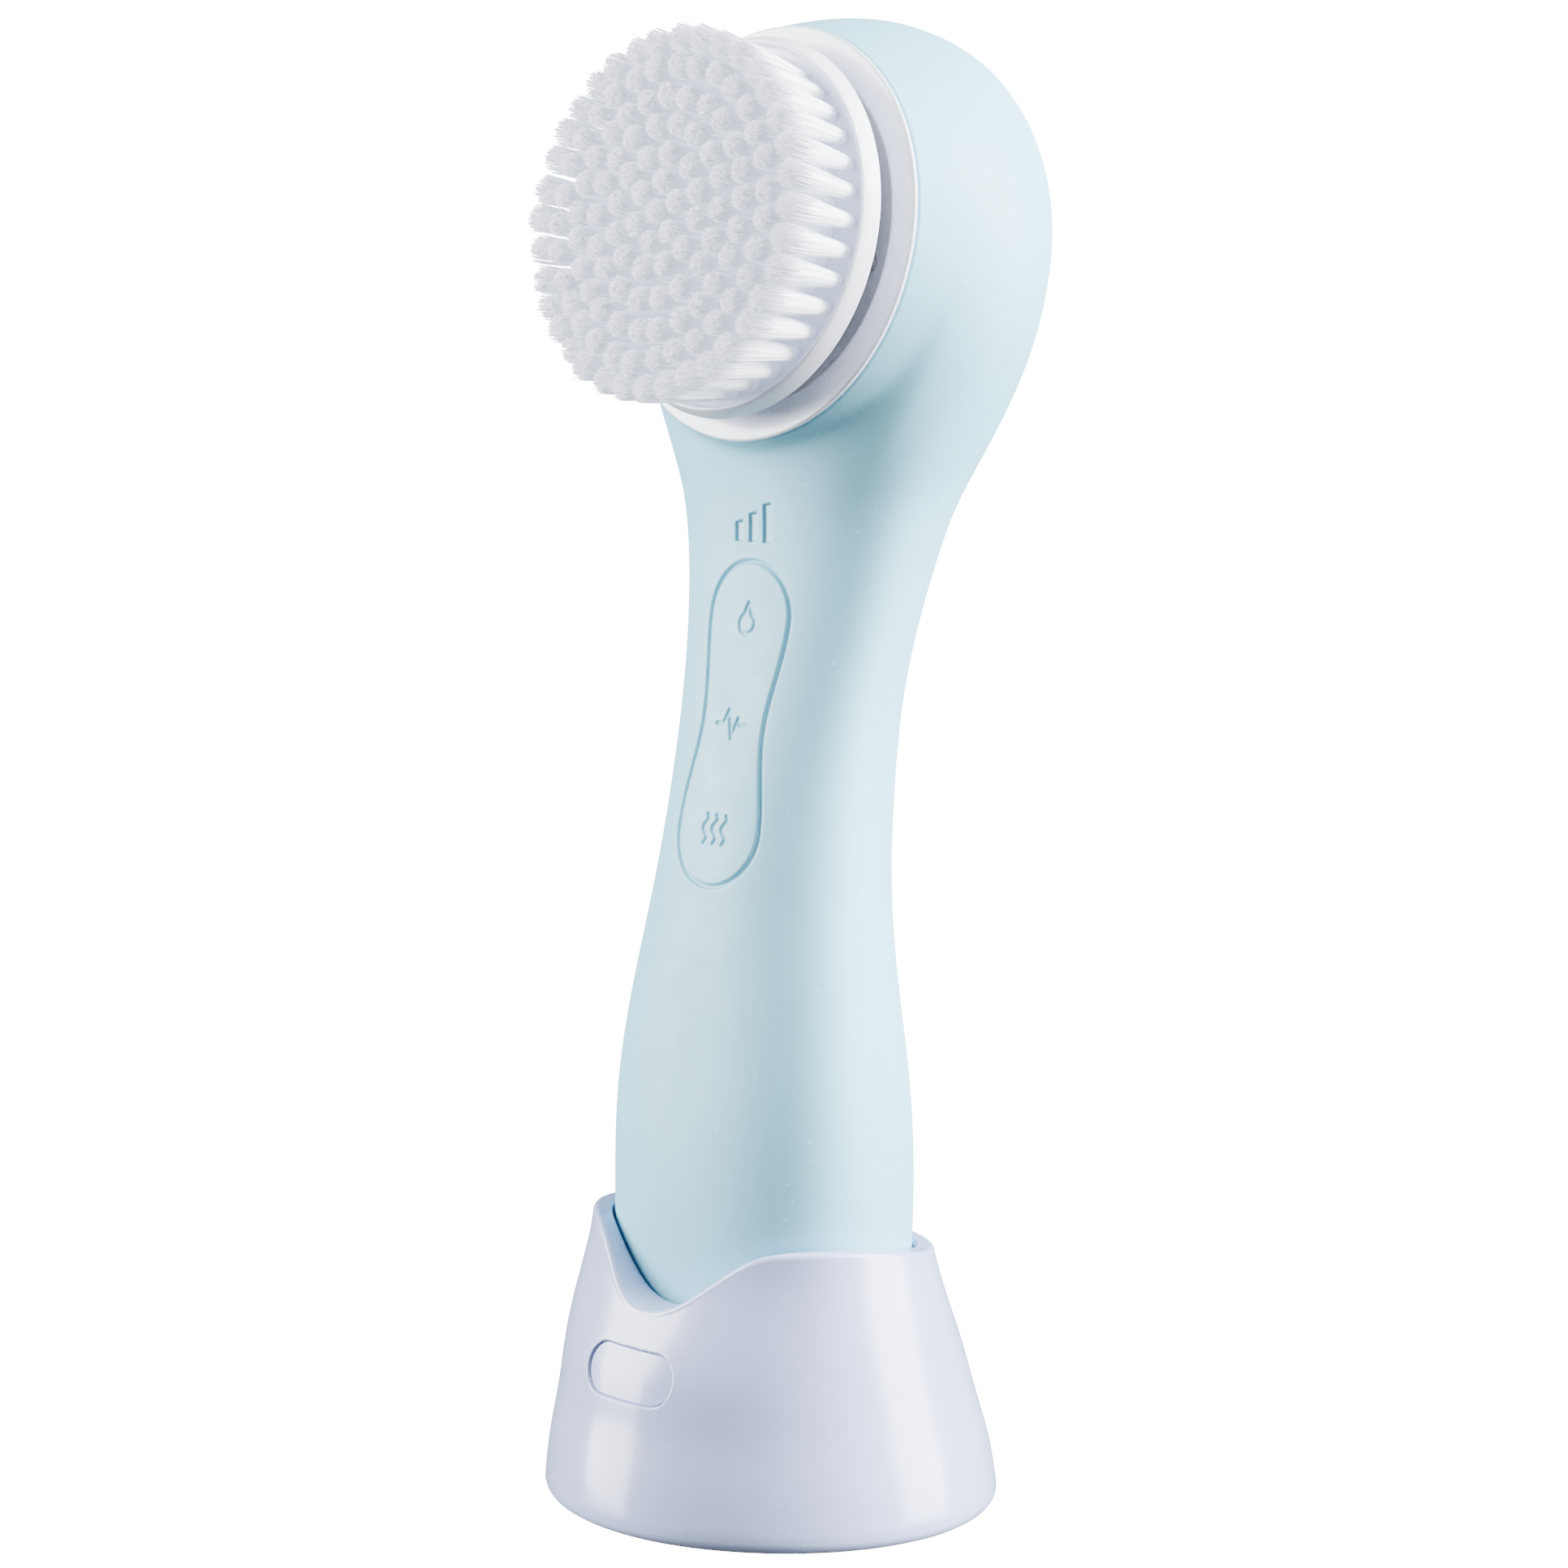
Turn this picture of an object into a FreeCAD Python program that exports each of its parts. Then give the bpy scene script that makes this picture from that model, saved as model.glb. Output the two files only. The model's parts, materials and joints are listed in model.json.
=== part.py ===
import FreeCAD, Part
import math
import os

import Sketcher
from FreeCAD import Placement, Rotation, Vector

# Facial cleansing brush standing in its charging stand. Millimetres, +Z up, the brush faces -Y.
# The origin is the middle of the stand's footprint, on the surface that it stands on.

DIMENSIONS = {
    # layers of the handle and the head
    "skin_wall": 1.2,
    "core_wall": 1.8,
    "butt_rounding": 4.0,
    "butt_padding": 1.3,
    "neck_rounding": 9.0,
    "split_offset": -2.9,
    "split_tilt": 5.0,
    # head: a drum about an axis that leans back, z' = 0 at the front of the bezel ring
    "head_y": -4.5,
    "head_z": 169.7,
    "head_tilt": 9.4,
    "drum_front": -0.8,
    "drum_front_radius": 27.3,
    "drum_radius": 31.2,
    "drum_widest": -15.5,
    "drum_back": -31.7,
    # bezel ring
    "bezel_inner": 22.6,
    "bezel_skirt": 24.2,
    "bezel_depth": 2.8,
    # gear train
    "gear_module": 0.5,
    "tooth_backlash": 0.08,
    "output_teeth": 42,
    "idler_small_teeth": 14,
    "idler_large_teeth": 30,
    "motor_teeth": 12,
    "idler_direction": -125.0,
    "motor_reach": 13.5,
    "output_gear_z": -7.9,
    "output_gear_width": 2.1,
    "idler_large_z": -10.3,
    "idler_large_width": 2.1,
    "idler_small_width": 2.5,
    "motor_pinion_z": -10.3,
    "motor_pinion_width": 1.8,
    # deck, gearbox plate and what joins them
    "deck_front": -3.2,
    "deck_back": -5.4,
    "plate_front": -10.7,
    "plate_back": -12.4,
    "plate_radius": 22.5,
    "spacer_circle": 17.0,
    "spacer_radius": 2.2,
    "spacer_bore": 1.1,
    "deck_screw_radius": 1.0,
    "deck_screw_head": 1.9,
    "deck_screw_head_height": 0.8,
    # drive shaft and its bearings
    "shaft_radius": 2.5,
    "shaft_tip": 4.2,
    "shaft_flat": 1.7,
    "shaft_flat_from": 0.9,
    "running_gap": 0.05,
    "bearing_radius": 4.6,
    "seal_radius": 6.0,
    "seal_front": -1.6,
    "clip_radius": 4.4,
    "clip_back": -1.2,
    "clip_front": -0.6,
    "idler_pin_radius": 1.0,
    # motor
    "motor_radius": 6.0,
    "motor_wall": 0.5,
    "motor_back": -24.4,
    "motor_cap": 1.2,
    "armature_radius": 4.4,
    "armature_gap": 1.2,
    "motor_shaft_radius": 0.75,
    # heated plate at the back of the head
    "plate_disc_radius": 15.0,
    "plate_disc_wall": 0.9,
    "gasket_radius": 16.0,
    "gasket_gap": 0.02,
    "heater_radius": 13.0,
    # brush
    "carrier_back": 2.2,
    "carrier_face": 5.2,
    "carrier_rim_top": 6.3,
    "carrier_radius": 25.0,
    "socket_radius": 8.0,
    "socket_back": 0.2,
    "socket_bore_gap": 0.08,
    "latch_radius": 6.6,
    "bristle_root_radius": 22.2,
    "bristle_tip_radius": 24.6,
    "bristle_edge": 19.0,
    "bristle_crown": 20.0,
    # keys: a peanut-shaped area on the leaning front of the handle
    "key_y": -8.54,
    "key_z": 105.5,
    "key_tilt": 9.0,
    "key_half_length": 21.6,
    "key_top_radius": 7.3,
    "key_bottom_radius": 7.45,
    "key_neck": 5.7,
    "key_groove": 0.5,
    "key_zone": 7.0,
    "key_gap": 0.3,
    "key_pitch": 14.0,
    "boss_radius": 2.0,
    "boss_depth": 3.4,
    # main board with its switches and lights
    "board_depth": 7.0,
    "board_thickness": 1.2,
    "board_width": 20.0,
    "board_bottom": -24.0,
    "board_top": 32.0,
    "switch_width": 6.0,
    "switch_height": 2.2,
    "switch_button_radius": 1.6,
    "switch_button_height": 0.8,
    "light_width": 1.0,
    "light_pitch": 2.6,
    "light_base": 24.3,
    "light_recess": 0.35,
    "led_size": 1.6,
    # battery and coils
    "cell_radius": 7.0,
    "cell_length": 50.0,
    "cell_y": -2.1,
    "cell_bottom": 24.0,
    "holder_wall": 1.2,
    "coil_inner": 5.0,
    "coil_outer": 10.0,
    "coil_height": 1.4,
    "receive_coil_z": 13.6,
    "shield_radius": 10.6,
    "shield_height": 0.6,
    # screws of the handle's core
    "pillar_radius": 2.3,
    "shell_screw_radius": 1.0,
    "shell_screw_head": 1.8,
    "shell_screw_head_height": 1.2,
    "shell_screw_length": 12.0,
    # stand
    "cup_gap": 0.4,
    "cup_wall": 1.8,
    "cup_floor": 8.7,
    "cup_floor_wall": 1.7,
    "skirt_wall": 2.2,
    "foot_rounding": 1.8,
    "hollow_top": 26.0,
    "pad_height": 1.0,
    "pad_gap": 0.1,
    "base_plate_height": 1.8,
    "base_boss_radius": 2.8,
    "base_boss_top": 20.0,
    "base_screw_x": 10.0,
    "base_screw_y": 21.5,
    "base_screw_radius": 1.0,
    "base_screw_head": 2.0,
    "base_screw_length": 8.0,
    "charging_board_z": 3.6,
    "charging_board_width": 30.0,
    "charging_board_front": -12.0,
    "charging_board_back": 16.5,
    "charging_board_thickness": 1.2,
    "board_tongue_width": 12.0,
    "board_tongue_back": 24.0,
    "transmit_coil_z": 5.2,
    "inlet_width": 9.0,
    "inlet_height": 3.2,
    "inlet_depth": 7.4,
    "inlet_wall": 0.4,
    "inlet_y": 20.6,
    "badge_width": 15.6,
    "badge_height": 6.5,
    "badge_z": 21.0,
    "badge_recess": 0.45,
    "badge_depth": 1.4,
}

# level above the floor, middle in Y, half width in X, half depth in Y, roundness of the superellipse
HANDLE_SECTIONS = [
    (9.0, -2.1, 19.4, 14.2, 2.4),
    (26.0, -2.1, 21.0, 15.4, 2.4),
    (45.0, -2.1, 21.7, 16.0, 2.4),
    (58.0, -2.2, 21.1, 14.9, 2.5),
    (71.0, -1.9, 19.5, 13.4, 2.4),
    (84.0, -0.85, 17.5, 12.4, 2.3),
    (97.0, 0.8, 16.3, 11.7, 2.35),
    (110.0, 2.65, 16.5, 10.55, 2.5),
    (122.0, 4.8, 18.1, 10.6, 2.5),
    (132.0, 6.6, 20.3, 11.9, 2.4),
    (141.0, 7.9, 23.0, 13.6, 2.3),
    (150.0, 9.2, 24.8, 14.4, 2.2),
    (160.0, 10.0, 25.0, 13.6, 2.2),
    (168.0, 11.0, 23.0, 11.0, 2.2),
]
STAND_SECTIONS = [
    (0.3, 0.0, 31.9, 30.7, 1.93),
    (8.5, -0.4, 31.0, 29.2, 1.94),
    (14.0, -0.85, 29.7, 27.7, 1.96),
    (21.0, -1.6, 28.2, 26.0, 1.98),
    (29.0, -2.2, 26.4, 21.8, 2.18),
    (36.0, -2.4, 24.9, 19.0, 2.3),
    (41.0, -2.6, 24.2, 18.4, 2.3),
]
# rim of the stand: its height seen from the side (y, z), and half of the dip seen from the front (x, z)
RIM_SIDE = [(-32.0, 39.3), (-14.0, 38.9), (-7.0, 38.4), (0.0, 37.3), (8.0, 36.1), (17.0, 35.7), (32.0, 35.6)]
RIM_DIP = [(0.0, 29.2), (5.0, 30.4), (9.5, 33.7), (14.0, 37.1), (19.0, 38.8), (25.0, 39.4)]
RIM_DIP_TOP = 46.0
LIGHT_HEIGHTS = [2.3, 3.45, 4.75]
SPACER_ANGLES = [90.0, 190.0, 350.0]
# level, distance from the middle plane and the Y of the head's end of each pair of core screws
SHELL_SCREWS = [(30.0, 13.0, 8.1), (66.0, 13.0, 6.3), (139.0, 14.0, 15.8)]
RING_POINTS = 32
PRESSURE_ANGLE = math.radians(20.0)
ADDENDUM = 0.8
DEDENDUM = 1.05
DOME_ROUNDNESS = 2.9
DRUM_SWELL = 1.6
FAR = 100.0


class Size:
    """A length or an angle, and the spreadsheet formula that gives it."""

    def __init__(self, value, formula):
        self.value = float(value)
        self.formula = formula

    def __add__(self, other):
        other = as_size(other)
        return Size(self.value + other.value, f"({self.formula} + {other.formula})")

    def __sub__(self, other):
        other = as_size(other)
        return Size(self.value - other.value, f"({self.formula} - {other.formula})")

    def __mul__(self, other):
        other = as_size(other)
        return Size(self.value * other.value, f"({self.formula} * {other.formula})")

    def __neg__(self):
        return Size(-self.value, f"(0 - {self.formula})")

    def __radd__(self, other):
        return as_size(other) + self

    def __rsub__(self, other):
        return as_size(other) - self


def as_size(value):
    return value if isinstance(value, Size) else Size(value, repr(float(value)))


class Dimensions:
    """The driving dimensions, each as the Size of its spreadsheet cell."""

    def __getattr__(self, name):
        return Size(DIMENSIONS[name], "dims." + name)


D = Dimensions()
doc = FreeCAD.newDocument("facial_cleansing_brush")
nodes = []


# ---------------------------------------------------------------- helpers


def fill_sheet():
    sheet = doc.addObject("Spreadsheet::Sheet", "dims")
    for row, (name, value) in enumerate(DIMENSIONS.items(), start=1):
        sheet.set(f"A{row}", name)
        sheet.set(f"B{row}", str(value))
        sheet.setAlias(f"B{row}", name)
    doc.recompute()


def bind(obj, path, size):
    obj.setExpression(path, as_size(size).formula)


def move(obj, x=0, y=0, z=0):
    for axis, size in (("x", x), ("y", y), ("z", z)):
        bind(obj, "Placement.Base." + axis, size)
    return obj


def cylinder(name, radius, bottom, top, x=0, y=0):
    obj = doc.addObject("Part::Cylinder", name)
    bind(obj, "Radius", radius)
    bind(obj, "Height", as_size(top) - bottom)
    return move(obj, x, y, bottom)


def box(name, width, depth, bottom, top, x=0, y=0):
    """A box centred on x and y, from bottom to top."""
    obj = doc.addObject("Part::Box", name)
    bind(obj, "Length", width)
    bind(obj, "Width", depth)
    bind(obj, "Height", as_size(top) - bottom)
    return move(obj, as_size(x) - as_size(width) * 0.5, as_size(y) - as_size(depth) * 0.5, bottom)


def feature(name, shape):
    obj = doc.addObject("Part::Feature", name)
    obj.Shape = shape
    return obj


def cut(name, base, tool):
    """Base less tool; faces are left unmerged, because merging the thin shells' faces breaks them."""
    obj = doc.addObject("Part::Cut", name)
    obj.Base = base
    obj.Tool = tool
    obj.Refine = False
    return obj


def carve(name, base, tools):
    """Cut the tools away one after another; the last cut carries the name."""
    for number, tool in enumerate(tools[:-1]):
        base = cut(f"{name}_stage_{number}", base, tool)
    return cut(name, base, tools[-1])


def round_edge(name, base, radius, pick):
    """Fillet the one edge of base for which pick gives the largest value."""
    doc.recompute()
    edges = list(enumerate(base.Shape.Edges, start=1))
    number, _ = max(edges, key=lambda numbered: pick(numbered[1]))
    obj = doc.addObject("Part::Fillet", name)
    obj.Base = base
    obj.Edges = [(number, radius, radius)]
    return obj


def common(name, base, tool):
    obj = doc.addObject("Part::Common", name)
    obj.Base = base
    obj.Tool = tool
    return obj


def fuse(name, parts):
    obj = doc.addObject("Part::MultiFuse", name)
    obj.Shapes = parts
    return obj


def group(name, parts):
    obj = doc.addObject("Part::Compound", name)
    obj.Links = parts
    return obj


def lean(obj, y, z, angle):
    """Place an object of a leaning frame: its own Z axis points out of the front, its Y axis up."""
    obj.Placement = Placement(Vector(0, 0, 0), Rotation(Vector(1, 0, 0), 0))
    obj.Placement.Rotation.Axis = Vector(1, 0, 0)
    bind(obj, "Placement.Rotation.Angle", 90.0 - angle)
    bind(obj, "Placement.Base.y", y)
    bind(obj, "Placement.Base.z", z)
    return obj


def in_head(obj):
    return lean(obj, D.head_y, D.head_z, D.head_tilt)


def in_keys(obj):
    return lean(obj, D.key_y, D.key_z, D.key_tilt)


def node(obj, label):
    obj.Label = label
    nodes.append(obj)
    return obj


def turned(name, outline):
    """A solid of revolution about its own Z axis, from its outline's corners (radius, height)."""
    body = doc.addObject("PartDesign::Body", name)
    planes = {plane.Role: plane for plane in body.Origin.OriginFeatures}
    sketch = body.newObject("Sketcher::SketchObject", name + "_outline")
    sketch.AttachmentSupport = (planes["XZ_Plane"], [""])
    sketch.MapMode = "FlatFace"
    corners = [(as_size(radius), as_size(height)) for radius, height in outline]
    points = [Vector(radius.value, height.value, 0) for radius, height in corners]
    for start, end in zip(points, points[1:] + points[:1]):
        sketch.addGeometry(Part.LineSegment(start, end))
    for index, (radius, height) in enumerate(corners):
        following = (index + 1) % len(corners)
        sketch.addConstraint(Sketcher.Constraint("Coincident", index, 2, following, 1))
        if radius.value == 0:
            sketch.addConstraint(Sketcher.Constraint("PointOnObject", index, 1, -2))
        else:
            place_corner(sketch, "DistanceX", index, f"radius_{index}", radius)
        place_corner(sketch, "DistanceY", index, f"height_{index}", height)
    revolution = body.newObject("PartDesign::Revolution", name + "_turned")
    revolution.Profile = sketch
    revolution.ReferenceAxis = (sketch, ["V_Axis"])
    revolution.Angle = 360
    return body


def place_corner(sketch, kind, corner, name, size):
    number = sketch.addConstraint(Sketcher.Constraint(kind, -1, 1, corner, 1, size.value))
    sketch.renameConstraint(number, name)
    sketch.setExpression("Constraints." + name, size.formula)


def ring(name, inner, outer, bottom, top):
    return turned(name, [(inner, bottom), (outer, bottom), (outer, top), (inner, top)])


def smooth(points, closed=False):
    curve = Part.BSplineCurve()
    curve.interpolate([Vector(*point) for point in points], PeriodicFlag=closed)
    return curve.toShape()


def line(start, end):
    return Part.makeLine(Vector(*start), Vector(*end))


def polar(radius, angle):
    return Vector(radius * math.cos(angle), radius * math.sin(angle), 0)


# ---------------------------------------------------------------- handle and head forms


def section(level, middle, width, depth, roundness, inset):
    points = []
    for step in range(RING_POINTS):
        angle = 2 * math.pi * step / RING_POINTS
        across = math.cos(angle)
        along = math.sin(angle)
        reach = (abs(across) ** roundness + abs(along) ** roundness) ** (-1 / roundness)
        x = (width - inset) * reach * across
        y = middle + (depth - inset) * reach * along
        points.append((x, y, level))
    return Part.Wire(smooth(points, closed=True))


def loft_shape(sections, inset, bottom=None):
    """Loft through the sections, drawn in by inset, with its lower end moved to bottom."""
    rows = [list(row) for row in sections]
    if bottom is not None:
        rows[0][0] = bottom
    return Part.makeLoft([section(*row, inset) for row in rows], True, False)


def loft(name, sections, inset, bottom=None):
    return feature(name, loft_shape(sections, inset, bottom))


def round_foot(shape, radius):
    """Round the edge of a loft's lower end."""
    foot = min(shape.Faces, key=lambda face: face.CenterOfMass.z)
    return shape.makeFillet(radius, foot.Edges)


def drum_shape(inset):
    """The head's drum, drawn in by inset: it widens behind the bezel and closes in a soft dome."""
    front = DIMENSIONS["drum_front"]
    widest = DIMENSIONS["drum_widest"]
    front_radius = DIMENSIONS["drum_front_radius"] - inset
    radius = DIMENSIONS["drum_radius"] - inset
    dome = widest - DIMENSIONS["drum_back"] - inset
    points = []
    for step in range(4):
        share = step / 4
        swell = (radius - front_radius) * (1 - share) ** DRUM_SWELL
        points.append((radius - swell, 0, front + (widest - front) * share))
    for step in range(10):
        angle = math.radians(9.0 * step)
        across = math.cos(angle) ** (2 / DOME_ROUNDNESS)
        along = math.sin(angle) ** (2 / DOME_ROUNDNESS)
        points.append((radius * across, 0, widest - dome * along))
    points.append((0, 0, widest - dome))
    axis = line(points[-1], (0, 0, front))
    face = Part.Face(Part.Wire([smooth(points), axis, line((0, 0, front), points[0])]))
    return face.revolve(Vector(0, 0, 0), Vector(0, 0, 1), 360)


def drum(name, inset):
    return feature(name, drum_shape(inset))


def stem_shape(inset, rounded):
    """The handle, drawn in by inset. With a plain foot it ends higher, to stay inside a rounded one."""
    bottom = HANDLE_SECTIONS[0][0] + inset
    if rounded:
        return round_foot(loft_shape(HANDLE_SECTIONS, inset, bottom=bottom), DIMENSIONS["butt_rounding"])
    return loft_shape(HANDLE_SECTIONS, inset, bottom=bottom + DIMENSIONS["butt_padding"])


def body_form(name, inset, rounded=False):
    """The handle and the head in one, drawn in by inset, optionally with its foot and neck rounded."""
    stem = stem_shape(inset, rounded)
    head = drum_shape(inset)
    spot = Vector(0, DIMENSIONS["head_y"], DIMENSIONS["head_z"])
    head.Placement = Placement(spot, Rotation(Vector(1, 0, 0), 90.0 - DIMENSIONS["head_tilt"]))
    whole = stem.fuse(head)
    if rounded:
        neck = [edge for edge in whole.Edges if is_neck(edge)]
        whole = whole.makeFillet(DIMENSIONS["neck_rounding"], neck)
    return feature(name, whole)


def is_neck(edge):
    """True for the long edge where the handle meets the head."""
    return not edge.Degenerated and edge.Length > 80 and edge.BoundBox.ZMax < DIMENSIONS["head_z"]


def build_forms():
    skin = D.skin_wall.value
    return {
        "outer": body_form("outer_form", 0.0, rounded=True),
        "core": body_form("core_form", skin),
        "cavity": body_form("cavity_form", skin + D.core_wall.value),
        "recessed": body_form("recessed_form", D.light_recess.value, rounded=True),
    }


# ---------------------------------------------------------------- keys, skin and core


def half_circle(radius, y, sign):
    """The half of a circle round (0, y) on the side that sign gives."""
    return Part.Arc(Vector(radius, y, 0), Vector(0, y + sign * radius, 0), Vector(-radius, y, 0)).toShape()


def peanut(name, grow, bottom, top, low=None, high=None):
    """Prism of the key area's outline, grown by grow, and limited to the zone from low to high."""
    reach = DIMENSIONS["key_half_length"]
    upper = DIMENSIONS["key_top_radius"]
    lower = DIMENSIONS["key_bottom_radius"]
    neck = DIMENSIONS["key_neck"] + grow
    top_y = reach - upper
    bottom_y = lower - reach
    upper += grow
    lower += grow

    def side(sign):
        curve = Part.BSplineCurve()
        points = [(upper, top_y), (neck, 0), (lower, bottom_y)]
        points = [Vector(sign * x, y, 0) for x, y in points]
        curve.interpolate(points, Tangents=[Vector(0, -14, 0)] * 3, TangentFlags=[True] * 3)
        return curve.toShape()

    crown = half_circle(upper, top_y, 1)
    foot = half_circle(lower, bottom_y, -1)
    outline = Part.Wire(Part.__sortEdges__([crown, side(-1), foot, side(1)]))
    outline.translate(Vector(0, 0, bottom))
    prism = Part.Face(outline).extrude(Vector(0, 0, top - bottom))
    if low is not None:
        corner = Vector(-FAR / 2, low, bottom)
        prism = prism.common(Part.makeBox(FAR, high - low, top - bottom, corner))
    return in_keys(feature(name, prism))


def build_keys(forms):
    """Three soft pads in one outline, each with a boss that reaches its switch."""
    pad_grow = -DIMENSIONS["key_groove"] / 2
    zone = DIMENSIONS["key_zone"]
    half_gap = DIMENSIONS["key_gap"] / 2
    limits = {
        "clean_key": (zone + half_gap, FAR),
        "ems_key": (-zone + half_gap, zone - half_gap),
        "heat_key": (-FAR, -zone - half_gap),
    }
    centres = {"clean_key": D.key_pitch, "ems_key": 0.0, "heat_key": -D.key_pitch}
    layer = cut("skin_layer", forms["outer"], forms["core"])
    for name, (low, high) in limits.items():
        prism = peanut(name + "_prism", pad_grow, -6.0, 6.0, low, high)
        pad = common(name + "_pad", layer, prism)
        post = cylinder(name + "_post", D.boss_radius, -D.boss_depth, D.skin_wall, y=centres[name])
        post = in_keys(group(name + "_post_placed", [post]))
        post = common(name + "_boss", forms["outer"], post)
        node(fuse(name, [pad, post]), name)
    return layer


def light_slots(name, grow, bottom, top):
    slots = []
    for index, height in enumerate(LIGHT_HEIGHTS):
        slots.append(
            box(
                f"{name}_{index}",
                D.light_width + grow,
                height + grow,
                bottom,
                top,
                x=D.light_pitch * (index - 1),
                y=D.light_base + height / 2,
            )
        )
    return in_keys(group(name, slots))


def build_skin(forms, layer):
    """Soft sleeve over the core, open at the bezel, the keys, the light bars and the heated plate."""
    window = peanut("skin_window", DIMENSIONS["key_groove"] / 2, -8.0, 8.0)
    slots = light_slots("skin_slots", 0.1, -6.0, 6.0)
    hole = in_head(group("skin_back_hole", [cylinder("skin_back_disc", D.gasket_radius, -FAR, D.drum_widest)]))
    node(carve("silicone_skin", layer, [hole, window, slots]), "silicone_skin")
    bars = light_slots("light_bar_prisms", 0.0, -6.0, 6.0)
    recessed = cut("light_layer", forms["recessed"], forms["core"])
    node(common("light_bars", recessed, bars), "light_bars")


def rod_along_y(name, radius, front, back, x, level):
    rod = doc.addObject("Part::Cylinder", name)
    bind(rod, "Radius", radius)
    rod.Height = back - front
    rod.Placement = Placement(Vector(x, front, level), Rotation(Vector(1, 0, 0), -90))
    return rod


def screw_spots():
    """Name, place and Y of the head's end of every screw in the handle's core."""
    for level, offset, head_end in SHELL_SCREWS:
        for side in (-1, 1):
            yield f"{int(level)}_{side + 1}", side * offset, level, head_end


def core_screw(name, x, level, head_end):
    """A screw that points to -Y, with the end of its head at head_end."""
    head_start = head_end - DIMENSIONS["shell_screw_head_height"]
    tip = head_end - DIMENSIONS["shell_screw_length"]
    head = rod_along_y(name + "_head", D.shell_screw_head, head_start, head_end, x, level)
    shank = rod_along_y(name + "_shank", D.shell_screw_radius, tip, head_end, x, level)
    return fuse(name, [head, shank])


def build_core(forms):
    """Rigid shell under the skin in two halves, with screw pillars and the openings of its front."""
    wall = cut("core_layer", forms["core"], forms["cavity"])
    rods = []
    screws = []
    access = []
    for name, x, level, head_end in screw_spots():
        rods.append(rod_along_y("pillar_" + name, D.pillar_radius, -FAR / 2, FAR / 2, x, level))
        screws.append(core_screw("screw_" + name, x, level, head_end))
        access.append(rod_along_y("access_" + name, D.shell_screw_head, head_end, FAR / 2, x, level))
    posts = common("core_pillars", forms["cavity"], fuse("pillar_rods", rods))
    whole = fuse("core_whole", [wall, posts])
    node(group("shell_screws", screws), "shell_screws")
    window = peanut("core_window", 0.6, -8.0, 8.0)
    lights = in_keys(group("core_light_window", [box("core_light_box", 8.4, 7.4, -6.0, 6.0, y=27.6)]))
    drilled = carve("core_drilled", whole, [group("core_screw_space", screws + access), window, lights])
    half = doc.addObject("Part::Box", "back_half_space")
    half.Length = 2 * FAR
    half.Width = 2 * FAR
    half.Height = 4 * FAR
    half.Placement.Rotation = Rotation(Vector(1, 0, 0), 0)
    half.Placement.Rotation.Axis = Vector(1, 0, 0)
    bind(half, "Placement.Rotation.Angle", -D.split_tilt)
    half.Placement.Base.x = -FAR
    bind(half, "Placement.Base.y", D.split_offset)
    half.Placement.Base.z = 0
    node(cut("core_shell_front", drilled, half), "core_shell_front")
    node(common("core_shell_back", drilled, half), "core_shell_back")


def build_heated_plate(forms):
    """Domed metal disc flush with the back of the head, with its gasket and heater film."""
    outer = drum("plate_outer", 0.0)
    film_face = drum("plate_inner", D.plate_disc_wall.value)
    core_face = drum("plate_seat", D.skin_wall.value - D.gasket_gap.value)
    disc = cylinder("plate_disc", D.plate_disc_radius, -FAR, D.drum_widest)
    gasket = cylinder("gasket_disc", D.gasket_radius, -FAR, D.drum_widest)
    heater = cylinder("heater_disc", D.heater_radius, -FAR, D.drum_widest)
    shell = cut("plate_shell", outer, film_face)
    node(in_head(common("heated_plate", shell, disc)), "heated_plate")
    seat = cut("gasket_shell", outer, core_face)
    band = cut("gasket_band", gasket, disc)
    ring_seat = in_head(common("gasket_ring", seat, band))
    node(cut("plate_gasket", ring_seat, forms["core"]), "plate_gasket")
    film = cut("film_shell", film_face, core_face)
    node(in_head(common("heater_film", film, heater)), "heater_film")


# ---------------------------------------------------------------- electronics of the handle


def build_board():
    back = -(D.board_depth + D.board_thickness)
    length = D.board_top - D.board_bottom
    middle = (D.board_top + D.board_bottom) * 0.5
    board = box("board_slab", D.board_width, length, back, -D.board_depth, y=middle)
    node(in_keys(group("main_board_placed", [board])), "main_board")
    switches = []
    for index in (-1, 0, 1):
        y = D.key_pitch * index
        case_top = D.switch_height - D.board_depth
        case = box(f"switch_case_{index + 1}", D.switch_width, D.switch_width, -D.board_depth, case_top, y=y)
        button = cylinder(
            f"switch_button_{index + 1}", D.switch_button_radius, case_top, case_top + D.switch_button_height, y=y
        )
        switches.append(fuse(f"switch_{index + 1}", [case, button]))
    node(in_keys(group("tact_switches", switches)), "tact_switches")
    lamps = []
    for index in (-1, 0, 1):
        lamps.append(
            box(
                f"lamp_{index + 1}",
                D.led_size,
                D.led_size,
                -D.board_depth,
                D.led_size - D.board_depth,
                x=D.light_pitch * index,
                y=27.0,
            )
        )
    node(in_keys(group("level_lamps", lamps)), "level_lamps")
    guide = box("guide_block", 8.0, 7.0, D.led_size - D.board_depth + 0.1, -2.4, y=27.6)
    node(in_keys(group("light_guide_placed", [guide])), "light_guide")


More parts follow.
